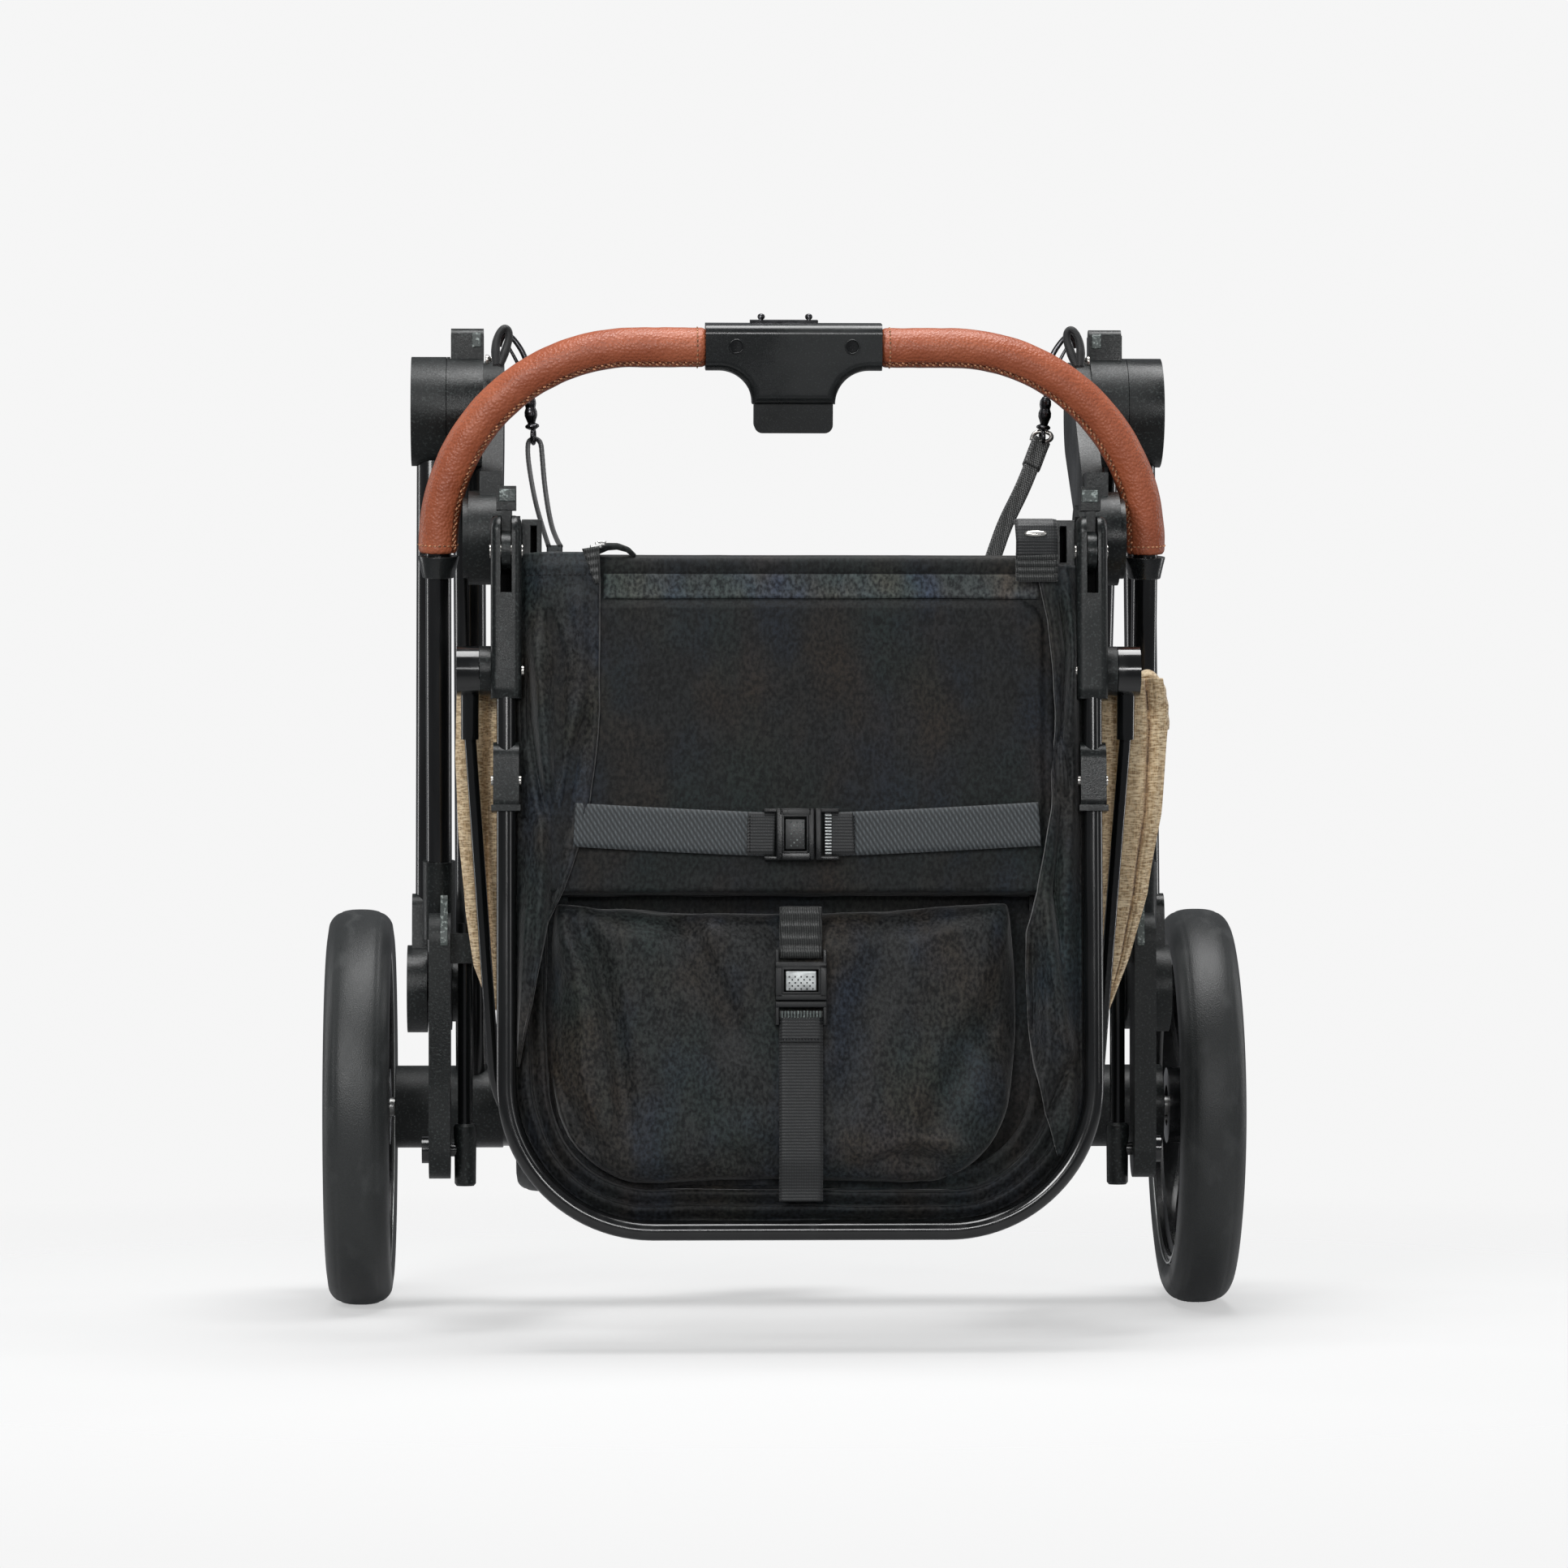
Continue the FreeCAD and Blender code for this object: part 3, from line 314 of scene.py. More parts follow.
NODE_FINISHES = {
    "shell": """axle_housings hinge_arm_left hinge_arm_right link_plates hinge_caps hub_discs
        fold_bracket_left
        fold_bracket_right fork_sleeve_left fork_sleeve_right lower_sleeves receiver_blocks stay_knuckles
        caster_fork_left caster_fork_right brake_pedal hinge_button_left hinge_button_right""",
    "housing": "housing_front housing_back handle_collars",
    "soft_touch": "release_button",
    "tube": """axle_tube rear_leg_left rear_leg_right leg_cross_tube lower_handle_left lower_handle_right
        handle_tube
        u_frame front_legs""",
    "rod": "pull_rods cabin_bow housing_screws",
    "rim": "rear_rim_left rear_rim_right front_rim_left front_rim_right",
    "steel": "axle_shaft rear_bearings_left rear_bearings_right button_spring",
    "bright": "sleeve_rivets",
    "chrome": "strap_plate snap_hooks",
    "rubber": "rear_tyre_left rear_tyre_right front_tyre_left front_tyre_right",
    "leather": "leather_grip_left leather_grip_right",
    "lining": "back_panel lower_pouch",
    "canvas": "side_panels",
    "webbing": "webbing tether_strap",
    "cord": "tether_cord",
    "buckle": "buckles",
    "silver_button": "buckle_button_down",
    "pale": "buckle_button_across",
}
for finish, names in NODE_FINISHES.items():
    for node_name in names.split():
        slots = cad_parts[node_name].data.materials
        slots.clear()
        slots.append(FINISHES[finish])
        if finish in ("shell", "housing", "soft_touch"):
            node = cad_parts[node_name]
            for kind, settings in (("WELD", {"merge_threshold": 0.02 * MM}),
                    ("BEVEL", {"width": 0.55 * MM, "segments": 2, "limit_method": "ANGLE",
                    "angle_limit": math.radians(48)}), ("WEIGHTED_NORMAL", {"keep_sharp": False})):
                modifier = node.modifiers.new(kind.lower(), kind)
                for key, value in settings.items():
                    setattr(modifier, key, value)

# ---- mesh helpers ----


def turns(count):
    """That many even angles round a circle."""
    return [j * math.tau / count for j in range(count)]


def grid_faces(rows, columns):
    """Faces of a sheet of points given row by row."""
    width = columns + 1
    return [(r * width + c, r * width + c + 1, (r + 1) * width + c + 1, (r + 1) * width + c)
            for r in range(rows) for c in range(columns)]


def loft_faces(rings, size, around=True, closed=True):
    """Faces between loops of points. Around joins the last loop to the first; closed joins a loop's ends."""
    faces = []
    for i in range(rings if around else rings - 1):
        here, there = i * size, (i + 1) % rings * size
        for j in range(size if closed else size - 1):
            after = (j + 1) % size
            faces.append((here + j, here + after, there + after, there + j))
    return faces


def placed(name, work, finish, body):
    """Turns a bmesh in the row frame into a piece that rides on a body."""
    mesh = bpy.data.meshes.new(name)
    work.to_mesh(mesh)
    work.free()
    mesh.shade_smooth()
    mesh.materials.append(FINISHES[finish])
    made = bpy.data.objects.new(name, mesh)
    SCENE.collection.objects.link(made)
    if body:
        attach(made, body)
    return made


def piece(name, points, faces, finish, body):
    """A piece from points and faces."""
    mesh = bpy.data.meshes.new(name)
    mesh.from_pydata([tuple(p) for p in points], [], faces)
    work = bmesh.new()
    work.from_mesh(mesh)
    bpy.data.meshes.remove(mesh)
    bmesh.ops.recalc_face_normals(work, faces=work.faces)
    return placed(name, work, finish, body)


def spun(name, profile, spot, count, finish, body, closed=True):
    """A turned piece from (out, radius) pairs, where spot(out, radius, angle) gives each point."""
    points = [spot(out, radius, angle) for angle in turns(count) for out, radius in profile]
    return piece(name, points, loft_faces(count, len(profile), closed=closed), finish, body)


def crisp(made, angle=32):
    """Smooth faces with hard edges above that angle."""
    made.data.set_sharp_from_angle(angle=math.radians(angle))
    return made


def modify(made, kind, **settings):
    modifier = made.modifiers.new(kind.lower(), kind)
    for key, value in settings.items():
        setattr(modifier, key, value)
    return modifier


def applied(made):
    """Makes the modifiers' result the piece's own mesh."""
    bpy.context.view_layer.update()
    result = bpy.data.meshes.new_from_object(made.evaluated_get(bpy.context.evaluated_depsgraph_get()))
    made.modifiers.clear()
    made.data = result
    return made


def spline_points(name, points, resolution=14):
    """Points along one smooth NURBS line that has the given points as its control points."""
    curve = bpy.data.curves.new(name, "CURVE")
    curve.dimensions = "3D"
    curve.resolution_u = resolution
    spline = curve.splines.new("NURBS")
    spline.points.add(len(points) - 1)
    for target, point in zip(spline.points, points):
        target.co = (*point, 1)
    spline.order_u = 3
    spline.use_endpoint_u = True
    holder = bpy.data.objects.new(name, curve)
    SCENE.collection.objects.link(holder)
    bpy.context.view_layer.update()
    mesh = bpy.data.meshes.new_from_object(holder.evaluated_get(bpy.context.evaluated_depsgraph_get()))
    line = [v.co.copy() for v in mesh.vertices]
    bpy.data.objects.remove(holder)
    bpy.data.meshes.remove(mesh)
    return line


def even(line, step):
    """The same line with points about step metres apart."""
    lengths = [0.0]
    for a, b in zip(line, line[1:]):
        lengths.append(lengths[-1] + (b - a).length)
    count = max(2, round(lengths[-1] / step))
    made, index = [], 0
    for i in range(count + 1):
        goal = lengths[-1] * i / count
        while index < len(line) - 2 and lengths[index + 1] < goal:
            index += 1
        gap = lengths[index + 1] - lengths[index]
        made.append(line[index].lerp(line[index + 1], (goal - lengths[index]) / gap if gap else 0))
    return made


def frames_along(line, side):
    """At each point of a line: the point, its tangent, the side square to it, and the way out of both."""
    made = []
    for i, point in enumerate(line):
        tangent = (line[min(i + 1, len(line) - 1)] - line[max(i - 1, 0)]).normalized()
        across = (side - tangent * side.dot(tangent)).normalized()
        made.append((point, tangent, across, tangent.cross(across)))
        side = across
    return made


def sweep(name, line, section, finish, body, side=Vector((0, -1, 0))):
    """A piece whose section, a loop of (across, out) in metres that may change on the way, follows a line."""
    points = []
    steps = frames_along(line, side)
    size = len(section(0.0))
    for i, (point, _, across, out) in enumerate(steps):
        for a, b in section(i / (len(steps) - 1)):
            points.append(point + across * a + out * b)
    faces = loft_faces(len(steps), size, around=False)
    faces.append(tuple(range(size)))
    faces.append(tuple(range(len(points) - size, len(points))))
    return piece(name, points, faces, finish, body)


def circle(radius, count=20):
    """Section of a round bar."""
    return [(radius * math.cos(a), radius * math.sin(a)) for a in turns(count)]


def strap_section(width, thickness, count=10):
    """Section of a woven strap: thin, with rounded, slightly thicker selvedges. Across is the thickness."""
    half, edge = width / 2, thickness / 2
    made = []
    for sign in (1, -1):
        for i in range(count + 1):
            out = sign * half * (1 - 2 * i / count)
            near = smooth(abs(out), half - 2.4 * MM, half - 1.2 * MM)
            rounding = smooth(half - abs(out), -0.1 * MM, 0.8 * MM)
            made.append((sign * edge * (1 + 0.25 * near) * (0.35 + 0.65 * rounding), out))
    return made


def capsule(work, start, end, radius, sides=6):
    """Adds one stitch, a short rounded bar, to a bmesh."""
    tangent = (end - start).normalized()
    across = tangent.orthogonal().normalized()
    out = tangent.cross(across)
    rings = []
    for point, scale in ((start, 0.45), (start.lerp(end, 0.2), 1), (start.lerp(end, 0.8), 1), (end, 0.45)):
        ring = []
        for t in range(sides):
            angle = t * math.tau / sides
            offset = (across * math.cos(angle) + out * math.sin(angle)) * radius * scale
            ring.append(work.verts.new(point + offset))
        rings.append(ring)
    for a, b in zip(rings, rings[1:]):
        for t in range(sides):
            work.faces.new((a[t], a[(t + 1) % sides], b[(t + 1) % sides], b[t]))
    work.faces.new(list(reversed(rings[0])))
    work.faces.new(rings[-1])


def stitches(name, pairs, radius, finish, body):
    """One mesh of many stitches, each from a start to an end point."""
    work = bmesh.new()
    for start, end in pairs:
        capsule(work, start, end, radius)
    return placed(name, work, finish, body)


def running_stitch(line, pitch, share=0.62):
    """Start and end points of the stitches of a seam along a line."""
    points = even(line, pitch)
    return [(a, a.lerp(b, share)) for a, b in zip(points, points[1:])]


def bar(work, base, x, front, up, bevel=0.6):
    """Adds a box with rounded edges to a bmesh: low and high x, front and up in a leaning frame, in mm."""
    corners = [at(base, a, b, c) for a in x for b in front for c in up]
    verts = [work.verts.new(p) for p in corners]
    loops = ((0, 1, 3, 2), (4, 6, 7, 5), (0, 4, 5, 1), (2, 3, 7, 6), (0, 2, 6, 4), (1, 5, 7, 3))
    faces = [work.faces.new([verts[i] for i in loop]) for loop in loops]
    edges = list({edge for face in faces for edge in face.edges})
    bmesh.ops.recalc_face_normals(work, faces=faces)
    bmesh.ops.bevel(work, geom=edges, offset=bevel * MM, segments=3, affect="EDGES", profile=0.6)


def bars(name, base, boxes, finish, body):
    """One piece of several rounded boxes, each (x, front, up) or (x, front, up, bevel)."""
    work = bmesh.new()
    for box in boxes:
        bar(work, base, *box)
    return crisp(placed(name, work, finish, body), 50)


# ---- camera, floor and light ----

BACKGROUND = (0.920, 0.920, 0.920)
FLOOR_RADIUS = 6.0
CAMERA_LENS = 141.0
CAMERA_PLACE, CAMERA_AIM = (-0.1413, -3.7832, 0.3294), (0.0370, 0.9993, 0)

camera = bpy.data.objects.new("camera", bpy.data.cameras.new("camera"))
camera.data.lens = CAMERA_LENS
camera.data.sensor_width = 36
camera.location = CAMERA_PLACE
camera.rotation_mode = "QUATERNION"
camera.rotation_quaternion = Vector(CAMERA_AIM).to_track_quat("-Z", "Y")
SCENE.collection.objects.link(camera)
SCENE.camera = camera
SCENE.view_settings.view_transform = "Standard"

world = bpy.data.worlds.new("studio")
world.use_nodes = True
SCENE.world = world
world_nodes, world_links = world.node_tree.nodes, world.node_tree.links
sky = world_nodes["Background"]
sky.inputs["Color"].default_value = (*BACKGROUND, 1)
sky.inputs["Strength"].default_value = 1.0
glow = world_nodes.new("ShaderNodeBackground")
glow.inputs["Color"].default_value = (0.93, 0.95, 1.0, 1)
glow.inputs["Strength"].default_value = 0.17
rays = world_nodes.new("ShaderNodeLightPath")
choose = world_nodes.new("ShaderNodeMixShader")
world_links.new(rays.outputs["Is Camera Ray"], choose.inputs[0])
world_links.new(glow.outputs[0], choose.inputs[1])
world_links.new(sky.outputs[0], choose.inputs[2])
world_links.new(choose.outputs[0], world_nodes["World Output"].inputs["Surface"])

paper = Finish("pale_floor", (0.90, 0.90, 0.90), 0.9, Specular_IOR_Level=0.1)
distance = paper.node("VectorMath", {0: paper.where}, operation="LENGTH").outputs["Value"]
paper.feed("Alpha", paper.span(distance, 0.35, 1.2, 0.5, 0.0))
bpy.ops.mesh.primitive_circle_add(vertices=96, radius=FLOOR_RADIUS, fill_type="NGON", location=(0, 0, 0))
floor = bpy.context.object
floor.name = "floor"
floor.data.materials.append(paper.material)


def softbox(name, location, target, size, power):
    light = bpy.data.lights.new(name, "AREA")
    light.shape = "RECTANGLE"
    light.size, light.size_y = size
    light.energy = power
    made = bpy.data.objects.new(name, light)
    made.location = location
    made.rotation_mode = "QUATERNION"
    made.rotation_quaternion = (Vector(target) - Vector(location)).to_track_quat("-Z", "Y")
    SCENE.collection.objects.link(made)


MIDDLE = (0, 0, 0.3)
softbox("key", (-1.2, -2.7, 1.7), MIDDLE, (0.9, 0.9), 40)
softbox("front", (0.25, -3.3, 0.95), MIDDLE, (0.9, 0.35), 15)
softbox("fill", (2.3, -1.7, 1.1), MIDDLE, (0.5, 1.6), 6)
softbox("top", (0.1, -0.1, 2.4), MIDDLE, (1.8, 0.9), 44)
softbox("left_edge", (-1.9, 0.8, 0.8), MIDDLE, (0.3, 1.9), 8)
softbox("right_edge", (1.9, 0.8, 0.8), MIDDLE, (0.3, 1.9), 8)

# ---- tethers: a cord loop on the left and a strap on the right ----

CORD_RADIUS = 1.5
cord_route = ((-146, 262, 470), (-149, 236, 480), (-154, 207, 498), (-157.5, 180, 518), (-159, 161, 531),
    (-158.5, 148, 540), (-151, 146, 540), (-150, 158, 528), (-148.5, 177, 509), (-145, 206, 486),
    (-141, 240, 474), (-139, 262, 470))
cord_line = even(spline_points("cord_line", [place(*p) for p in cord_route]), 0.4 * MM)


def swollen(angle, turn):
    """Radius of the cord where two sets of strands cross."""
    return (CORD_RADIUS * MM) * (1 + 0.05 * math.sin(6 * angle - turn) * math.sin(6 * angle + turn))


def braid(t):
    """Section of a braided cord: its strands swell in turn along the way."""
    turn = t * 210
    return [
        (swollen(a, turn) * math.cos(a), swollen(a, turn) * math.sin(a))
        for a in turns(16)
    ]


tether = sweep("tether_loop", cord_line, braid, "cord", None)
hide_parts("tether_cord")
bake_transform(tether)

# ---- leather grips ----

HANDLE_HALF, HANDLE_CORNER, ARC_LEVEL = 212.0, 118.0, 191.6
GRIP_START, GRIP_END, GRIP_RADIUS = 186.5, 52.6, 12.0
SEAM_TURN = math.radians(38)  # the seam lies on the inner side of the bend, turned this far to the front


def grip_line(side, step):
    """Centre line of one grip, from its collar up round the bend to the housing."""
    centre_x, centre_up = HANDLE_HALF - HANDLE_CORNER, ARC_LEVEL
    line = [(HANDLE_HALF, GRIP_START), (HANDLE_HALF, ARC_LEVEL)]
    for i in range(1, 41):
        angle = i / 40 * math.pi / 2
        line.append((centre_x + HANDLE_CORNER * math.cos(angle),
            centre_up + HANDLE_CORNER * math.sin(angle)))
    line.append((GRIP_END, ARC_LEVEL + HANDLE_CORNER))
    return even([at(HANDLE, side * x, 0, up) for x, up in line], step)


def grip_section(side):
    count = 56

    def section(t):
        made = []
        rim = 1 - 0.10 * (1 - smooth(min(t, 1 - t), 0, 0.008))
        for j in range(count):
            angle = j * math.tau / count
            away = abs((angle - seam_angle(side) + math.pi) % math.tau - math.pi)
            groove = 1.0 * math.exp(-((away / math.radians(5)) ** 2))
            welt = 0.3 * math.exp(-(((away - math.radians(11)) / math.radians(5)) ** 2))
            slack = 0.22 * ripple(angle * 9, t * 240, side * 7, 9) + 0.15 * ripple(angle * 4, t * 240, 5,
                28)
            radius = (GRIP_RADIUS - 0.15 + slack - groove + welt) * rim * MM
            made.append((radius * math.cos(angle), radius * math.sin(angle)))
        return made

    return section


def seam_angle(side):
    """Angle of the seam in the grip's own section, which is measured from the front."""
    return -side * (math.pi / 2 - SEAM_TURN)


for name, side in SIDES:
    line = grip_line(side, 1.2 * MM)
    grip = sweep("grip_" + name, line, grip_section(side), "leather", "handle",
        side=HANDLE_FRONT)
    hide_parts("leather_grip_" + name)
    pairs = []
    seam = frames_along(grip_line(side, 4.0 * MM), HANDLE_FRONT)
    turn = seam_angle(side)
    for point, tangent, across, out in seam[1:-1]:
        for spread, lean in ((-0.13, 1), (0.13, -1)):
            a, b = turn + spread, turn + spread * 0.1
            start = point + (across * math.cos(a) + out * math.sin(a)) * 12.15 * MM
            end = point + tangent * 1.7 * MM * lean + (across * math.cos(b) + out * math.sin(b)) * 11.75 * MM
            pairs.append((start, end))
    stitches("grip_seam_" + name, pairs, 0.58 * MM, "thread", "handle")
    rows = []
    for index in (4, -5):
        point, tangent, across, out = frames_along(line, HANDLE_FRONT)[index]
        ring = [point + (across * math.cos(a) + out * math.sin(a)) * 12.05 * MM
                for a in turns(64) + [math.tau]]
        rows += running_stitch(ring, 2.9 * MM)
    stitches("grip_ends_" + name, rows, 0.5 * MM, "thread", "handle")

# ---- tyres and rim lines ----


def tyre_profile(radius, bead, width):
    """Half-round foam tyre with a mould line on its crown and a lip at the bead: (along, radius) pairs."""
    half = width / 2
    depth = radius - bead
    made = []
    for i in range(41):
        t = -1 + i / 20
        bulge = (1 - abs(t) ** 2.6) ** (1 / 2.6)
        seam = 0.35 * math.exp(-((t * half / 0.45) ** 2))
        shoulder = -0.35 * math.exp(-(((abs(t) - 0.62) * half / 0.7) ** 2))
        made.append((t * half, bead + 2 + (depth - 2) * (0.28 + 0.72 * bulge) + seam + shoulder))
    made.append((half * 0.86, bead + 0.4))
    made.append((half * 0.7, bead + 0.1))
    made.append((-half * 0.7, bead + 0.1))
    made.append((-half * 0.86, bead + 0.4))
    return [(a * MM, min(r, radius) * MM) for a, r in made]


AXLES = {
    "rear": (place(0, 0, 125), 265, 125, 101, 41),
    "front": (place(0, 115, 154), 150, 75, 58, 32),
}
for end, (axle, x, radius, bead, width) in AXLES.items():
    for name, side in SIDES:
        centre = axle + Vector((side * x * MM, 0, 0))
        body = f"{end}_wheel_{name}"

        def about_axle(out, reach, angle, centre=centre):
            return centre + Vector((out, reach * math.cos(angle), reach * math.sin(angle)))

        tread = spun(f"{end}_tread_{name}", tyre_profile(radius, bead, width), about_axle, 160, "rubber",
            body)
        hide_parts(f"{end}_tyre_{name}")
        for face in (-1, 1):
            across = face * (width / 2 - 2.2) * MM
            line = [(across + 0.5 * MM * math.cos(a), (bead - 1.0) * MM + 0.9 * MM * math.sin(a))
                for a in turns(8)]
            spun(f"{end}_rim_line_{'in' if face * side < 0 else 'out'}_{name}", line, about_axle, 160,
                "silver_paint", body)

# ---- folded cabin cloth ----

PACK_TOP, PANEL_FOOT, POUCH_TOP, POUCH_FOOT = -2.2, -200.0, -204.0, -372.0
FRAME_HALF, FRAME_CORNER, FRAME_FOOT = 170.6, 85.0, -395.0
PANEL_LEFT, PANEL_RIGHT = -149.0, 149.0
POUCH_LEFT, POUCH_RIGHT, POUCH_CORNER = -147.0, 127.0, 60.0
CREASE_GAIN = 1.9


def edge_round(distance, radius):
    """How far a face falls back near its edge, as a quarter circle of that radius does."""
    if distance >= radius:
        return 0.0
    t = 1 - max(distance, 0) / radius
    return radius * (1 - math.sqrt(max(0.0, 1 - t * t)))


def off_line(x, up, points):
    """Distance from a polyline and how far along it, from 0 to 1."""
    best, along = 1e9, 0.0
    spot = Vector((x, up))
    for i, (a, b) in enumerate(zip(points, points[1:])):
        a, b = Vector(a), Vector(b)
        t = max(0.0, min(1.0, (spot - a).dot(b - a) / (b - a).length_squared))
        gap = (spot - a.lerp(b, t)).length
        if gap < best:
            best, along = gap, (i + t) / (len(points) - 1)
    return best, along


def creases(x, up, lines):
    """Sum of valleys and ridges that follow lines and fade at their ends: each is (depth, width, points)."""
    total = 0.0
    for depth, width, points in lines:
        gap, along = off_line(x, up, points)
        if gap < width * 3:
            fade = smooth(along, -0.05, 0.18) * (1 - smooth(along, 0.7, 1.05))
            total += CREASE_GAIN * depth * fade * math.exp(-((gap / width) ** 2))
    return total


def board_distance(x, up):
    """Distance inside the stiff board under the panel cloth, whose upper right corner is round."""
    low_x, high_x, low_up, high_up, corner = -170.0, 141.0, -199.0, -30.0, 15.0
    dx = max(low_x + corner - x, x - (high_x - corner), 0)
    dup = max(low_up - up, up - (high_up - corner), 0)
    inside = min(x - low_x, high_x - x, up - low_up, high_up - up)
    return corner - math.hypot(dx, dup) if dx > 0 and dup > 0 and up > low_up else inside


def panel_front(x, up):
    hem = smooth(up, -13.5, -11.5)
    board = smooth(board_distance(x, up), -2.0, 1.6)
    edge = min(x - PANEL_LEFT, PANEL_RIGHT - x, PACK_TOP - up, up - PANEL_FOOT)
    slack = 0.7 * ripple(x, up * 0.6, 0, 70) + 0.22 * ripple(x * 0.8, up, 3, 17)
    seam = -0.6 * math.exp(-(((up + 12.5) / 0.9) ** 2))
    droop = 0.5 * math.sin(x / 23.0) * smooth(up, -30, -12)
    level = 2.7 + 1.0 * hem + 2.6 * board + seam
    return level + slack * (0.4 + 0.6 * board) + droop * 0.5 - edge_round(edge, 3.5)


def rounded_spans(left, right, top, foot, corner, rows):
    """Rows of a panel whose two lower corners are round: (up, left, right) from the top down."""
    made = []
    for i in range(rows + 1):
        t = i / rows
        up = top + (foot - top) * (0.5 * t + 0.5 * math.sin(t * math.pi / 2))
        rise = max(0.0, foot + corner - up)
        inset = corner - math.sqrt(max(0.0, corner ** 2 - rise ** 2))
        made.append((up, left + inset, right - inset))
    return made


def pack(name, spans, columns, front, depth, folds, finish, body):
    """A folded stack of cloth: a modelled face, walls with the edges of its layers, and a back."""
    rows = len(spans)
    points = []
    steps = 5 * folds + 1

    def spot(row, column):
        up, left, right = spans[row]
        t = column / columns
        t = 0.6 * t + 0.4 * (0.5 - 0.5 * math.cos(math.pi * t))
        return left + (right - left) * t, up

    for row in range(rows):
        for column in range(columns + 1):
            x, up = spot(row, column)
            points.append(at(SEAT, x, front(x, up), up))
    width = columns + 1
    faces = grid_faces(rows - 1, columns)
    border = list(range(width))
    border += [r * width + columns for r in range(1, rows)]
    border += [(rows - 1) * width + c for c in range(columns - 1, -1, -1)]
    border += [r * width for r in range(rows - 2, 0, -1)]
    spots = [spot(*divmod(index, width)) for index in border]
    rim = border
    middle = Vector((sum(s[0] for s in spots) / len(spots), sum(s[1] for s in spots) / len(spots)))
    for step in range(1, steps + 1):
        t = step / steps
        ring = []
        for index, (x, up) in enumerate(spots):
            before, after = Vector(spots[index - 1]), Vector(spots[(index + 1) % len(spots)])
            away = (after - before).normalized()
            away = Vector((away.y, -away.x))
            away *= 1 if away.dot(Vector((x, up)) - middle) > 0 else -1
            swell = abs(math.sin(math.pi * folds * t + 0.5 * ripple(x, up, 9, 60)))
            push = 1.6 * swell - 1.2 + 0.8 * ripple(x, up, step * 7, 30)
            edge_front = front(x, up)
            ring.append(len(points))
            points.append(at(SEAT, x + away.x * push, edge_front + (-depth - edge_front) * t,
                up + away.y * push))
        for index in range(len(ring)):
            after = (index + 1) % len(ring)
            faces.append((rim[index], rim[after], ring[after], ring[index]))
        rim = ring
    faces.append(tuple(rim))
    return piece(name, points, faces, finish, body)


panel_spans = rounded_spans(PANEL_LEFT, PANEL_RIGHT, PACK_TOP, PANEL_FOOT, 3.0, 110)
panel = pack("back_cover", panel_spans, 150, panel_front, 48, 4, "lining", "seat")
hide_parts("back_panel")

POUCH_CREASES = (
    (-5.0, 7, ((-133, -208), (-118, -238), (-109, -278), (-96, -360))),
    (3.2, 8, ((-142, -212), (-130, -245), (-122, -290), (-112, -340))),
    (-3.6, 10, ((-78, -208), (-62, -226), (-44, -262), (-32, -300))),
    (2.6, 9, ((-60, -208), (-46, -228), (-30, -255), (-20, -285))),
    (-4.0, 7, ((-149, -286), (-140, -308), (-128, -338), (-112, -352))),
    (2.8, 6, ((-149, -298), (-144, -318), (-134, -344), (-118, -362))),
    (-2.6, 14, ((52, -208), (42, -250), (30, -300), (16, -350))),
    (3.0, 16, ((104, -212), (78, -262), (54, -318), (38, -364))),
    (-2.8, 12, ((116, -258), (92, -300), (72, -338), (58, -366))),
    (-3.4, 5, ((96, -372), (80, -356), (54, -350), (36, -362))),
    (2.4, 5, ((110, -352), (90, -346), (64, -342), (44, -352))),
    (-2.6, 4, ((-22, -376), (-24, -364), (-34, -352), (-52, -344))),
)


def pouch_front(x, up):
    edge = min(x - POUCH_LEFT, POUCH_RIGHT - x, POUCH_TOP - up, up - POUCH_FOOT)
    corner_x = max(POUCH_LEFT + POUCH_CORNER - x, x - (POUCH_RIGHT - POUCH_CORNER), 0)
    corner_up = max(POUCH_FOOT + POUCH_CORNER - up, 0)
    if corner_x > 0 and corner_up > 0:
        edge = POUCH_CORNER - math.hypot(corner_x, corner_up)
    return 2.5 - edge_round(edge, 9)


def seat_local(point):
    """x, front and up in millimetres of a row point, in the seat's frame."""
    inner = SEAT_INVERSE @ point
    return inner.x / MM, -inner.y / MM, inner.z / MM


SEAT_INVERSE = SEAT.inverted()


SIM_FRAMES = 20


def inflate(made, voxel, pressure, cap):
    """Cloth simulation of a filled bag, with each point's move capped, and its result applied."""
    modify(made, "REMESH", mode="VOXEL", voxel_size=voxel * MM, use_smooth_shade=True)
    applied(made)
    rest = [v.co.copy() for v in made.data.vertices]
    cloth = modify(made, "CLOTH")
    cloth.settings.use_pressure = True
    cloth.settings.uniform_pressure_force = pressure
    cloth.settings.effector_weights.gravity = 0
    cloth.settings.quality = 6
    cloth.settings.mass = 0.3
    cloth.settings.bending_stiffness = 0.4
    cloth.point_cache.frame_end = SIM_FRAMES
    for frame_number in range(1, SIM_FRAMES + 1):
        SCENE.frame_set(frame_number)
    applied(made)
    SCENE.frame_set(1)
    for vertex, start in zip(made.data.vertices, rest):
        move = vertex.co - start
        if move.length > cap * MM:
            vertex.co = start + move * (cap * MM / move.length)
    modify(made, "SUBSURF", levels=1, render_levels=1)
    applied(made)


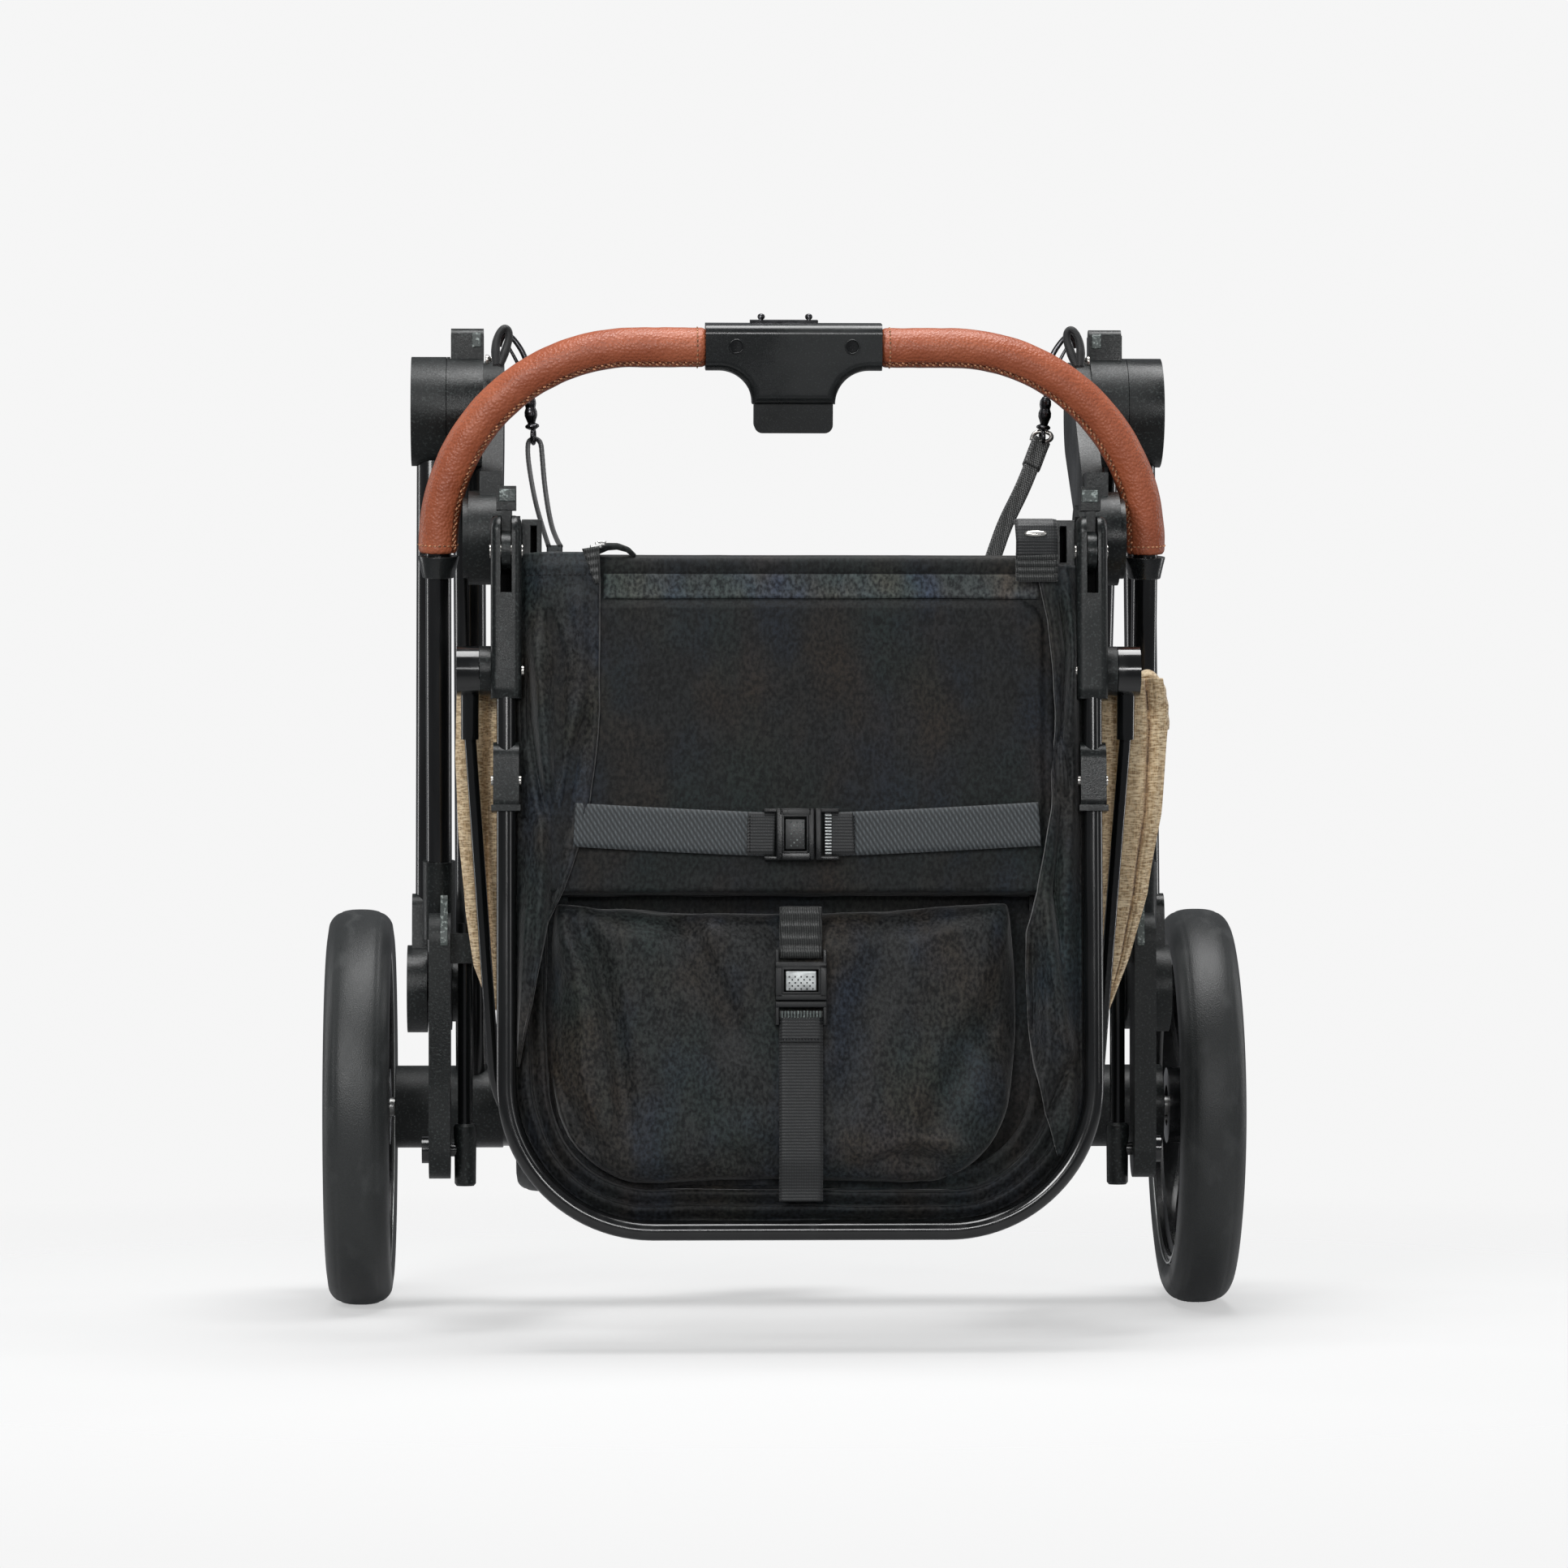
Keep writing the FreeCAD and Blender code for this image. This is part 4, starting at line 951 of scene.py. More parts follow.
pouch_spans = rounded_spans(POUCH_LEFT, POUCH_RIGHT, POUCH_TOP, POUCH_FOOT, POUCH_CORNER, 40)
# The pouch wears the brighter copy of the lining: painted sheen.
pouch = pack("pouch_cover", pouch_spans, 60, pouch_front, 38, 2, "lining_painted_sheen", None)
inflate(pouch, voxel=5, pressure=4, cap=7)
for vertex in pouch.data.vertices:
    x, front, up = seat_local(vertex.co)
    facing = smooth(front, -16, 0)
    scallop = 1.6 * math.sin(x / 6.5 + 2.2 * ripple(x, 0, 4, 50)) * smooth(up, -222, -207)
    wrinkle = creases(x, up, POUCH_CREASES) + 1.3 * ripple(x, up, 1, 34) + 0.3 * ripple(x, up, 6, 11)
    strap_pinch = -2.2 * math.exp(-((x / 20) ** 2)) * smooth(up, -380, -350)
    front += facing * (wrinkle + 0.6 * scallop + strap_pinch) + 0.8 * (1 - facing) * ripple(x, up, front,
        15)
    vertex.co = at(SEAT, x, min(front, 9.5), up - 0.8 * scallop * facing)
pouch.data.materials.clear()
pouch.data.materials.append(FINISHES["lining_painted_sheen"])
pouch.data.shade_smooth()
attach(pouch, "seat")
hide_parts("lower_pouch")


def cloth_grid(name, rows, columns, spot, finish, body, thick=0.7):
    """A sheet given as spot(t, w) in the row frame, along and across it from 0 to 1, with its thickness."""
    points = [spot(r / rows, c / columns) for r in range(rows + 1) for c in range(columns + 1)]
    made = piece(name, points, grid_faces(rows, columns), finish, body)
    modify(made, "SOLIDIFY", thickness=thick * MM, offset=0)
    return applied(made)


def frame_curve(t, inset):
    """Seat-frame x and up of the line inset mm inside the tube's centre: down the left, round and up."""
    radius = FRAME_CORNER - inset
    side = FRAME_HALF - inset
    straight = -24 - (FRAME_FOOT + FRAME_CORNER)
    turn = radius * math.pi / 2
    flat = 2 * (FRAME_HALF - FRAME_CORNER)
    total = 2 * straight + 2 * turn + flat
    s = t * total
    centre_up = FRAME_FOOT + FRAME_CORNER
    if s < straight:
        return -side, -24 - s
    s -= straight
    if s < turn:
        angle = s / radius
        return -(FRAME_HALF - FRAME_CORNER) - radius * math.cos(angle), centre_up - radius * math.sin(angle)
    s -= turn
    if s < flat:
        return -(FRAME_HALF - FRAME_CORNER) + s, FRAME_FOOT + inset
    s -= flat
    if s < turn:
        angle = s / radius
        return (FRAME_HALF - FRAME_CORNER) + radius * math.sin(angle), centre_up - radius * math.cos(angle)
    s -= turn
    return side, centre_up + s


def page(phase):
    """One page of a pleated stack: a slow rise to a rolled edge, then a quick drop under the next page."""
    p = phase % 1.0
    return smooth(p, 0.0, 0.72) if p < 0.78 else 1 - smooth(p, 0.78, 1.0)


def gusset_spot(layer, start, stop, base, height, seed):
    """A strip of the cabin's side cloth that lies folded inside the tube, from start to stop mm inside it."""

    def spot(t, w):
        drift = 0.30 * ripple(t * 1000, 0, seed, 110) + 0.16 * ripple(t * 1000, 40, seed, 33)
        inset = start + (stop - start) * w + 1.2 * ripple(t * 1000, w * 30, seed + 3, 60)
        x, up = frame_curve(min(0.9999, max(0.0, t)), max(5.9, inset))
        phase = layer * w + drift * (0.3 + w)
        wave = page(phase) * height * (0.75 + 0.5 * ripple(t * 1000, 3, seed + 1, 150))
        fine = 0.5 * ripple(x, up, seed, 14) * w
        return at(SEAT, x, base + wave + fine - 2.0 * smooth(w, 0.86, 1.0), up)

    return spot


for index, (layer, start, stop, base, height, seed) in enumerate(((2.0, 6.2, 24.0, -6.0, 5.5, 11),
        (1.6, 7.0, 36.0, -13.0, 6.0, 23), (1.2, 8.0, 44.0, -24.0, 7.0, 31))):
    gusset = cloth_grid(f"gusset_fold_{index + 1}", 420, 44,
        gusset_spot(layer, start, stop, base, height, seed), "lining", "seat")

LEFT_FLAP_EDGE = ((-2, -116.5), (-92, -116), (-130, -119.5), (-147, -122), (-168, -127), (-199, -138),
    (-216, -146), (-262, -155), (-300, -163.5))
RIGHT_FLAP_EDGE = ((-2, 137), (-40, 145), (-92, 149), (-150, 146), (-199, 138), (-222, 131), (-270, 132),
                   (-300, 136), (-325, 142), (-352, 150))


def edge_at(edge, up):
    """x of a flap's free edge at a height, between its (up, x) points."""
    for (up_a, x_a), (up_b, x_b) in zip(edge, edge[1:]):
        if up >= up_b:
            return x_a + (x_b - x_a) * (up_a - up) / (up_a - up_b)
    return edge[-1][1]


LEFT_CREASES = (
    (-3.8, 3.2, ((-148, -30), (-140, -62), (-140, -110), (-143, -150))),
    (3.0, 3.6, ((-155, -42), (-151, -84), (-148, -122), (-144, -150))),
    (-3.2, 3.0, ((-158, -60), (-156, -100), (-150, -140), (-147, -160))),
    (-3.0, 2.6, ((-143, -140), (-141, -180), (-147, -230), (-152, -262))),
    (2.4, 3.0, ((-150, -150), (-150, -190), (-153, -235), (-156, -262))),
    (-2.6, 3.4, ((-122, -88), (-131, -120), (-136, -150), (-141, -186))),
    (1.8, 5.0, ((-130, -20), (-126, -50), (-128, -84), (-134, -120))),
)
RIGHT_CREASES = (
    (-4.0, 2.6, ((151, -20), (156, -60), (153, -110), (158, -150))),
    (3.0, 3.0, ((160, -40), (156, -96), (150, -150), (146, -196))),
    (-3.4, 2.8, ((146, -96), (151, -150), (148, -200), (153, -250))),
    (3.2, 4.0, ((142, -196), (146, -240), (152, -280), (157, -300))),
    (-4.4, 4.5, ((133, -216), (136, -262), (134, -300), (124, -330))),
    (2.6, 4.0, ((140, -250), (144, -290), (136, -325), (126, -345))),
    (-3.0, 3.0, ((158, -296), (150, -312), (142, -330), (136, -346))),
)


def flap_spot(side, edge, lines, top, foot, base):
    """A side flap that lies over the panel: from the tube in to its free edge."""

    def spot(t, w):
        up = top + (foot - top) * t
        outer_x, _ = frame_curve(0.0, 6.5)
        rise = max(0.0, FRAME_FOOT + FRAME_CORNER - up)
        reach = FRAME_CORNER - 6.5
        outer = abs(outer_x) - (reach - math.sqrt(max(0.0, reach ** 2 - min(rise, reach) ** 2)))
        inner = edge_at(edge, up) + 0.9 * ripple(0, up, side * 9, 24)
        x = side * outer + (inner - side * outer) * w
        lift = base * smooth(w, 0.0, 0.35)
        curl = 1.6 * smooth(w, 0.86, 0.97) - 2.6 * smooth(w, 0.965, 1.0)
        slack = 1.2 * ripple(x, up * 0.5, side, 26) + 0.35 * ripple(x, up, side * 3, 9)
        ends = 1 - 0.9 * smooth(t, 0.93, 1.0)
        top_dip = -2.2 * (1 - smooth(t, 0.0, 0.03))
        front = -3.0 + (lift + curl + creases(x, up, lines)) * ends + slack + top_dip
        return at(SEAT, x, min(front, 12.0), up)

    return spot


# The flaps wear the brighter copy of the lining: painted sheen.
flap_left = cloth_grid("side_flap_left", 170, 44,
    flap_spot(-1, LEFT_FLAP_EDGE, LEFT_CREASES, -1.0, -300.0, 10.5), "lining_painted_sheen", "seat",
    0.9)
flap_right = cloth_grid("side_flap_right", 210, 40,
    flap_spot(1, RIGHT_FLAP_EDGE, RIGHT_CREASES, -8.0, -352.0, 9.0), "lining_painted_sheen", "seat",
    0.9)

BAND_ROWS, BAND_COLUMNS, BAND_LEFT, BAND_PITCH = 9, 130, -114, 1.95
HEM_LEVEL = -12.5
band_points = []
for row in range(BAND_ROWS + 1):
    up = -13.6 - 14.2 * row / BAND_ROWS
    lip = 0.35 + 0.75 * math.exp(-(((row - BAND_ROWS + 0.6) / 0.8) ** 2))
    for column in range(BAND_COLUMNS + 1):
        x = BAND_LEFT + column * BAND_PITCH
        up_here = up - 0.5 * ripple(x, 0, 21, 60) * row / BAND_ROWS
        band_points.append(at(SEAT, x, panel_front(x, up_here) + lip, up_here))
band = piece("panel_band", band_points, grid_faces(BAND_ROWS, BAND_COLUMNS), "band", "seat")
modify(band, "SOLIDIFY", thickness=0.5 * MM, offset=0)
applied(band)

hem = [at(SEAT, x, panel_front(x, HEM_LEVEL) + 0.35, HEM_LEVEL)
    for x in [-112 + i * 2.0 for i in range(124)]]
stitches("hem_stitches", running_stitch(hem, 3.2 * MM), 0.32 * MM, "black_thread", "seat")
flap_spot_left = flap_spot(-1, LEFT_FLAP_EDGE, LEFT_CREASES, -1.0, -300.0, 10.5)
top_seam = [flap_spot_left(0.045, 0.12 + 0.8 * i / 40) + Vector((0, -0.7 * MM, 0)) for i in range(41)]
stitches("flap_stitches", running_stitch(top_seam, 3.0 * MM), 0.32 * MM, "black_thread", "seat")

# ---- straps ----


def strap(name, points, width, thickness, finish, ribs=0.0, rib_pitch=1.6):
    """A woven strap along points of (x, front, up) in the seat's frame."""
    line = even([at(SEAT, *p) for p in points], 1.0 * MM)
    length = len(line) - 1
    flat = strap_section(width * MM, thickness * MM)

    def section(t):
        swell = 1 + ribs * math.sin(t * length / rib_pitch * math.tau)
        return [(a * swell, b) for a, b in flat]

    return sweep(name, line, section, finish, "seat", side=SEAT_FRONT)


def dip(x):
    """Height of the cross strap, which hangs a little at the buckle."""
    return -166.0 + 5.6 * (abs(x) / 125) ** 1.3


ACROSS_FRONT, DOWN_FRONT = 8.2, 9.8
for name, seed, x_range in (("left", 1, range(-131, -13, 2)), ("right", 2, range(15, 141, 2))):
    points = [(x, ACROSS_FRONT + 0.5 * ripple(x, 0, seed, 40), dip(x)) for x in x_range]
    across = strap("strap_across_" + name, points, WEBBING_WIDTH, 1.7, "webbing")
    if name == "left":
        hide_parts("webbing")
strap("strap_tail_left", [(x, ACROSS_FRONT + 1.9, dip(x)) for x in range(-31, -13, 2)], 24.6, 1.6,
    "webbing_plain")
strap("strap_tail_right", [(x, ACROSS_FRONT + 1.9, dip(x)) for x in range(15, 33, 2)], 24.6, 1.6,
    "webbing_plain")
down = [(0, DOWN_FRONT + 0.6 * ripple(0, up, 3, 35) - 4.5 * smooth(-up, 352, 374), up)
    for up in range(-268, -379, -2)]
strap("strap_down", down, WEBBING_WIDTH, 1.7, "webbing_plain")
strap("strap_down_tail", [(0, DOWN_FRONT + 1.9, up) for up in range(-270, -287, -2)], 24.8, 1.6,
    "webbing_plain")
loop = [(0, 9.2 + 1.7 * abs(math.sin(math.pi * i / 11)) + 1.2 * smooth(i, 30, 44), -208 - i * 0.66)
    for i in range(45)]
strap("strap_down_loops", loop, 24.6, 1.9, "webbing_coarse", ribs=0.3, rib_pitch=2.0)
end_seams = []
for x in (-29.5, 31.0):
    end_seams += running_stitch([at(SEAT, x, ACROSS_FRONT + 2.9, dip(x) + up) for up in range(-11, 12, 2)],
        1.9 * MM)
end_seams += running_stitch([at(SEAT, x, DOWN_FRONT + 2.9, -284.5) for x in range(-11, 12, 2)], 1.9 * MM)
stitches("strap_stitches", end_seams, 0.4 * MM, "black_thread", "seat")

# ---- buckles ----

BUCKLE_PLACES = {"down": SEAT @ Matrix.Translation(Vector((0, -8.6, -232.6)) * MM),
    "across": SEAT @ Matrix.Translation(Vector((-21.3, -7.0,
    -165.7)) * MM) @ Matrix.Rotation(math.radians(-90), 4, "Y"),}


def mirrored(low, high):
    return ((low, high), (-high, -low))


for name, base in BUCKLE_PLACES.items():
    boxes = [
        ((-15, 15), (0, 6.6), (-11.6, -7.2), 0.8), ((-15, 15), (0, 6.6), (-29.3, -25.4), 0.8),
        ((-15, 15), (0.3, 6.2), (-33.4, -29.9), 0.7), ((-12.8, 12.8), (1.2, 3.8), (-39.6, -35.2), 0.5),
    ]
    for side in mirrored(10.4, 15.0):
        boxes.append((side, (0, 6.6), (-28.0, -8.5), 0.8))
    for side in mirrored(12.7, 14.9):
        boxes += [(side, (0.4, 5.0), (-10.0, 0), 0.6), (side, (0.4, 5.4), (-43.6, -31.0), 0.6)]
    for side in mirrored(9.9, 11.2):
        boxes.append((side, (5.6, 7.4), (-25.4, -10.6), 0.5))
    for level in ((-11.8, -10.5), (-25.9, -24.6)):
        boxes.append(((-11.2, 11.2), (5.6, 7.4), level, 0.5))
    buckle = bars("buckle_" + name, base, boxes, "buckle", "seat")
    if name == "across":
        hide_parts("buckles")
    ribs = [((x - 0.5, x + 0.5), (3.4, 4.9), (-39.4, -35.4), 0.3)
        for x in [-11 + 1.83 * i for i in range(13)]]
    bars("buckle_ribs_" + name, base, ribs, "silver_button" if name == "across" else "pale", "seat")
    button_body = "buckle_button_" + name
    finish = "silver_button" if name == "down" else "soft_touch"
    button = bars("button_" + name, base, [((-9.0, 9.0), (1.5, 5.6), (-24.0, -12.2), 0.6)], finish,
        button_body)
    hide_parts("buckle_button_" + name)
    work = bmesh.new()
    for row in range(5):
        for column in range(5 - row % 2):
            x = -6.8 + 3.4 * column + 1.7 * (row % 2)
            spot = at(base, x, 5.6, -22.8 + row * 1.75)
            bmesh.ops.create_uvsphere(work, u_segments=12, v_segments=6, radius=0.52 * MM,
                                      matrix=Matrix.Translation(spot) @ Matrix.Diagonal((1, 0.45, 1, 1)))
    placed("button_dots_" + name, work, "buckle" if name == "down" else "pale", button_body)

# ---- lining behind the panel and pouch ----


def lining_front(x, up):
    return -19 + 2.2 * ripple(x, up, 12, 45) + 0.6 * ripple(x, up, 13, 14)


lining_spans = rounded_spans(-168.5, 168.5, -27, -391, 83, 50)
lining = pack("cabin_lining", lining_spans, 60, lining_front, 45, 3, "lining", "seat")

# ---- tan side cloth ----


class SideCloth:
    """Side cloth that hangs in upright folds and narrows to a point: spot(t, w) with t down and w across."""

    FACE = 0.74

    def __init__(self, side, outline, valleys, seed):
        self.side, self.outline, self.valleys, self.seed = side, outline, valleys, seed

    def spot(self, t, w):
        level, inner, outer = self.row(t)
        across = min(w / self.FACE, 1.0)
        back = max(0.0, (w - self.FACE) / (1 - self.FACE))
        near = 304.0 - (395 - level) * 0.182
        front = near - 1.5 - 1.2 * ripple(across * 30, t * 200, self.seed, 22)
        for centre, width, depth in self.valleys:
            centre += 0.05 * ripple(0, t * 200, self.seed + 3, 70)
            front -= depth * (1 - 0.35 * t) * math.exp(-(((across - centre) / width) ** 2))
        turn_back = 5.0 * (1 - math.cos(back * math.pi / 2))
        front -= turn_back + 30.0 * back * (1 - t) ** 0.6 + 3.0 * smooth(across, 0.86, 1.0)
        x = inner + (outer - inner) * (across - 0.03 * back)
        x += 0.5 * ripple(w * 40, t * 200, self.seed + 5, 30)
        up = level + 1.6 * ripple(w * 60, t * 60, self.seed + 7, 20) * (1 - smooth(t, 0.05, 0.2))
        return place(self.side * x, front, up)

    def row(self, t):
        """Height, inner x and outer x at t, in mm, from the outline's rows."""
        scaled = t * (len(self.outline) - 1)
        index = min(int(scaled), len(self.outline) - 2)
        share = scaled - index
        return [a + (b - a) * share for a, b in zip(self.outline[index], self.outline[index + 1])]


SIDE_CLOTHS = {"left": SideCloth(-1, ((384, 173, 199.0), (345, 173, 200.2), (300, 173, 198.6),
    (255, 174, 194.6), (222, 175, 189.5), (196, 177, 180.5)), ((0.34, 0.10, 7), (0.62, 0.06, 5)), 41),
    "right": SideCloth(1, ((392, 174, 214.5), (362, 174, 218.0), (312, 174, 214.8), (265, 175, 207.5),
    (227, 176, 197.5), (186, 178, 182.5)), ((0.30, 0.08, 6), (0.76, 0.035, 8), (0.84, 0.03, 2)), 57)}
for name, cloth in SIDE_CLOTHS.items():
    made = cloth_grid("side_cloth_" + name, 150, 120, cloth.spot, "canvas", "cabin_bow", 0.9)
    if name == "left":
        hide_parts("side_panels")

gather = [(197, 281, 366), (197.5, 284, 382), (200, 286, 391), (206, 287, 395), (213, 286, 391),
    (217, 284, 380), (218, 282, 362)]
gather_line = even(spline_points("gather_line", [place(*p) for p in gather]), 1.0 * MM)


def gather_section(t):
    made = []
    for j in range(28):
        angle = j * math.tau / 28
        crumple = 1 + 0.16 * ripple(t * 90, angle * 8, 5, 9) + 0.10 * math.sin(t * 44 + 2 * math.sin(angle))
        made.append((7.5 * crumple * math.cos(angle) * MM, 2.5 * crumple * math.sin(angle) * MM))
    return made


rolled = sweep("side_cloth_roll_right", gather_line, gather_section, "canvas", "cabin_bow")
for number, (x, front, up) in enumerate(((203.5, 290.5, 377), (209, 291, 371), (213, 290, 378))):
    spot = place(x, front, up)
    ring = [(0.5 * MM * math.sin(a), 2.1 * MM + 0.5 * MM * math.cos(a)) for a in turns(8)]
    spun(f"eyelet_{number + 1}", ring, lambda out, r, a,
        spot=spot: spot + Vector((math.cos(a) * r, out, math.sin(a) * r)), 24, "chrome", "cabin_bow")
inner_roll = [(200, 284, 352), (203, 287, 366), (206, 288, 374), (209, 287, 366), (211, 284, 352)]
inner_line = even(spline_points("inner_roll_line", [place(*p) for p in inner_roll]), 1.0 * MM)
pleat = sweep("side_cloth_pleat_right", inner_line,
    lambda t: [(a * 0.8, b * 0.9) for a, b in gather_section(t)], "canvas", "cabin_bow")

# ---- snap hooks ----


def merged(name, parts):
    """Joins several made rods into one chrome piece."""
    work = bmesh.new()
    for part in parts:
        work.from_mesh(part.data)
        bpy.data.objects.remove(part)
    return placed(name, work, "chrome", "rear_frame")


def bent_rod(name, side, points, radii, finish="chrome", count=16):
    """A rod along a smooth line whose radius, in mm, passes through the given values on the way."""
    line = even(spline_points(name, [place(side * x, front, up) for x, front, up in points]), 0.5 * MM)

    def section(t):
        scaled = t * (len(radii) - 1)
        index = min(int(scaled), len(radii) - 2)
        radius = radii[index] + (radii[index + 1] - radii[index]) * (scaled - index)
        return circle(radius * MM, count)

    return sweep(name, line, section, finish, "rear_frame")


def ring_points(centre, radius, turn):
    """Control points of a nearly closed ring in a plane turned from the side view."""
    x, front, up = centre
    made = []
    for i in range(13):
        angle = i / 12 * math.tau
        reach = radius * math.sin(angle)
        made.append((x + reach * math.sin(turn), front + reach * math.cos(turn),
            up + radius * math.cos(angle)))
    return made


# Lines of the snap hook's parts, as (x, front, up) on the right side
HOOK_BAR = (
    (176, 150, 596), (174, 151, 604), (169, 152, 603), (160, 152, 590), (158, 152, 575), (157.5, 151, 562),
)
HOOK_GATE = ((171, 147, 597), (166, 147, 588), (160, 148, 576), (159, 149, 565))
HOOK_BODY = ((157.6, 151, 566), (157.2, 150.5, 558), (156.6, 150, 549))
HOOK_COLLAR = ((156.4, 150, 549.5), (156.0, 149.6, 545.5))
HOOK_LOOP = (
    (178, 158, 584), (179, 156, 595), (176.5, 154.5, 604), (172.5, 153.5, 608), (169.5, 152.5, 604),
    (172, 154, 594), (176, 157, 584),
)
HOOK_STUD = ((184.5, 150, 588), (180, 150, 588), (176.5, 150, 588))
for name, side in SIDES:
    parts = [
        bent_rod("hook_bar_" + name, side, HOOK_BAR, (1.3, 1.6, 1.7, 1.6, 1.6)),
        bent_rod("hook_gate_" + name, side, HOOK_GATE, (0.9, 1.2, 1.2)),
        bent_rod("hook_body_" + name, side, HOOK_BODY, (2.0, 3.4, 3.6, 3.0, 3.9, 3.9, 3.0, 2.2), count=22),
        bent_rod("hook_collar_" + name, side, HOOK_COLLAR, (2.0, 4.3, 4.3, 2.0), count=22),
        bent_rod("hook_eye_" + name, side, ring_points((155.5, 148.6, 541.6), 4.6, 0.15), (1.15, 1.25, 1.15)),
    ]
    hook = merged("snap_hook_" + name, parts)
    if name == "left":
        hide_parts("snap_hooks")
    bent_rod("hook_loop_" + name, side, HOOK_LOOP, (2.4, 2.8, 2.4, 2.2, 2.4, 2.8, 2.4), "cord")
    bent_rod("hook_stud_" + name, side, HOOK_STUD, (3.0, 3.0, 1.6, 1.6, 3.4, 3.4), "bright")

# ---- tether strap on the right, zip pull, corner tab ----

strap_route = ((155, 148, 539), (152.5, 154, 534), (148, 168, 524), (139, 198, 506), (127, 232, 486),
    (119, 260, 468), (116, 270, 461))
strap_line = even(spline_points("strap_line", [place(*p) for p in strap_route]), 0.4 * MM)


def ladder(t):
    swell = 1 + 0.7 * math.sin(t * len(strap_line) / 6.5 * math.tau)
    return [(a * swell, b) for a, b in strap_section(9.6 * MM, 1.3 * MM, 8)]


tether_strap = sweep("tether_webbing", strap_line, ladder, "webbing_coarse", None,
    side=Vector((-0.25, -0.8, -0.5)))
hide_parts("tether_strap")
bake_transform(tether_strap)

fold_line = even(strap_line[:1 + len(strap_line) // 5], 0.4 * MM)


def fold_ladder(t):
    swell = 1 + 0.2 * math.sin(t * len(fold_line) / 6.5 * math.tau)
    return [(a * swell, b) for a, b in strap_section(11.4 * MM, 4.2 * MM, 8)]


sweep("tether_fold", fold_line, fold_ladder, "webbing_coarse", "rear_frame",
    side=Vector((-0.25, -0.8, -0.5)))
bent_rod("tether_ring", 1, ((149, 149, 540), (150, 147.5, 544), (155.5, 147.5, 545.5), (161, 147.5, 544),
    (161.5, 149, 540), (155, 150, 538), (149.5, 149.5, 539.5)), (1.3, 1.4, 1.3), "bright")

tab = [(137.5, 2, 16), (137.5, 7, 18), (137.5, 11, 14), (138, 12.5, 6), (138, 11, -3)]
strap("corner_tab", tab, 24.5, 1.7, "webbing_plain")
tab_ribs = [(138, 9.4 + 1.8 * abs(math.sin(math.pi * i / 6)), -2 - i * 0.66) for i in range(25)]
strap("corner_tab_loops", tab_ribs, 24.5, 1.9, "webbing_coarse", ribs=0.3, rib_pitch=2.0)
head = [(0.0, 0.01), (0.0, 4.6), (0.6, 5.2), (1.3, 5.0), (1.9, 3.6), (2.2, 1.6), (2.3, 0.01)]
rivet_axis = SEAT @ Matrix.Translation(Vector((137.2, -12.2,
    9.0)) * MM) @ Matrix.Rotation(math.radians(-38), 4, "X")
spun("corner_rivet", head, lambda out, r, a: rivet_axis @ (Vector((1.3 * r * math.cos(a), -out,
    0.42 * r * math.sin(a))) * MM), 40, "bright", "seat", closed=False)

pull_line = [at(SEAT, -121.5 + 0.16 * i, 12.5 - 0.05 * i, 1.0 - 0.9 * i) for i in range(24)]


def pull_section(t):
    swell = 1 + 0.3 * math.sin(t * 30)
    return [(a * swell, b) for a, b in strap_section((10.5 - 7.5 * t) * MM, 1.5 * MM, 8)]


sweep("zip_pull", pull_line, pull_section, "webbing_coarse", "seat", side=SEAT_FRONT)
bars("zip_slider", SEAT, [((-122, -115), (7, 12.5), (0.5, 2.6), 0.8),
    ((-119, -113), (8, 11), (2.0, 4.4), 0.8), ((-117.5, -112.5), (10.5, 12.0), (3.6, 5.0), 0.5)], "steel",
    "seat")
zip_end = even([at(SEAT, *p) for p in ((-118, 3, 0), (-112, 4, 2.2), (-106, 4, 2.4), (-100, 3, 0.6),
    (-96, 2, -3))], 1.0 * MM)
sweep("zip_end", zip_end, lambda t: circle((2.6 - 1.2 * t) * MM, 12), "lining", "seat")

# ---- painted shade in the slots, pale pads (the link plates' a painted highlight) and tether ends ----


def skin(name, node, x_span, up_span, finish, body, lift=0.5, count=12):
    """A thin patch laid on the front of a node, found by looking at the node along +Y."""
    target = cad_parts[node]
    rows = []
    for row in range(count + 1):
        for column in range(count + 1):
            x = x_span[0] + (x_span[1] - x_span[0]) * column / count
            up = up_span[0] + (up_span[1] - up_span[0]) * row / count
            hit, spot, _, _ = target.ray_cast(Vector((x, -500, up)) * MM, Vector((0, 1, 0)))
            rows.append(spot.y if hit else None)
    known = [y for y in rows if y is not None]
    points = []
    for index, y in enumerate(rows):
        row, column = divmod(index, count + 1)
        x = x_span[0] + (x_span[1] - x_span[0]) * column / count
        up = up_span[0] + (up_span[1] - up_span[0]) * row / count
        y = min(known) if y is None else min(y, min(known) + 1.5 * MM)
        points.append(Vector((x * MM, y - lift * MM, up * MM)))
    made = piece(name, points, grid_faces(count, count), finish, body)
    modify(made, "SOLIDIFY", thickness=0.8 * MM, offset=0)
    modify(made, "BEVEL", width=0.25 * MM, segments=2, limit_method="ANGLE")
    return applied(made)


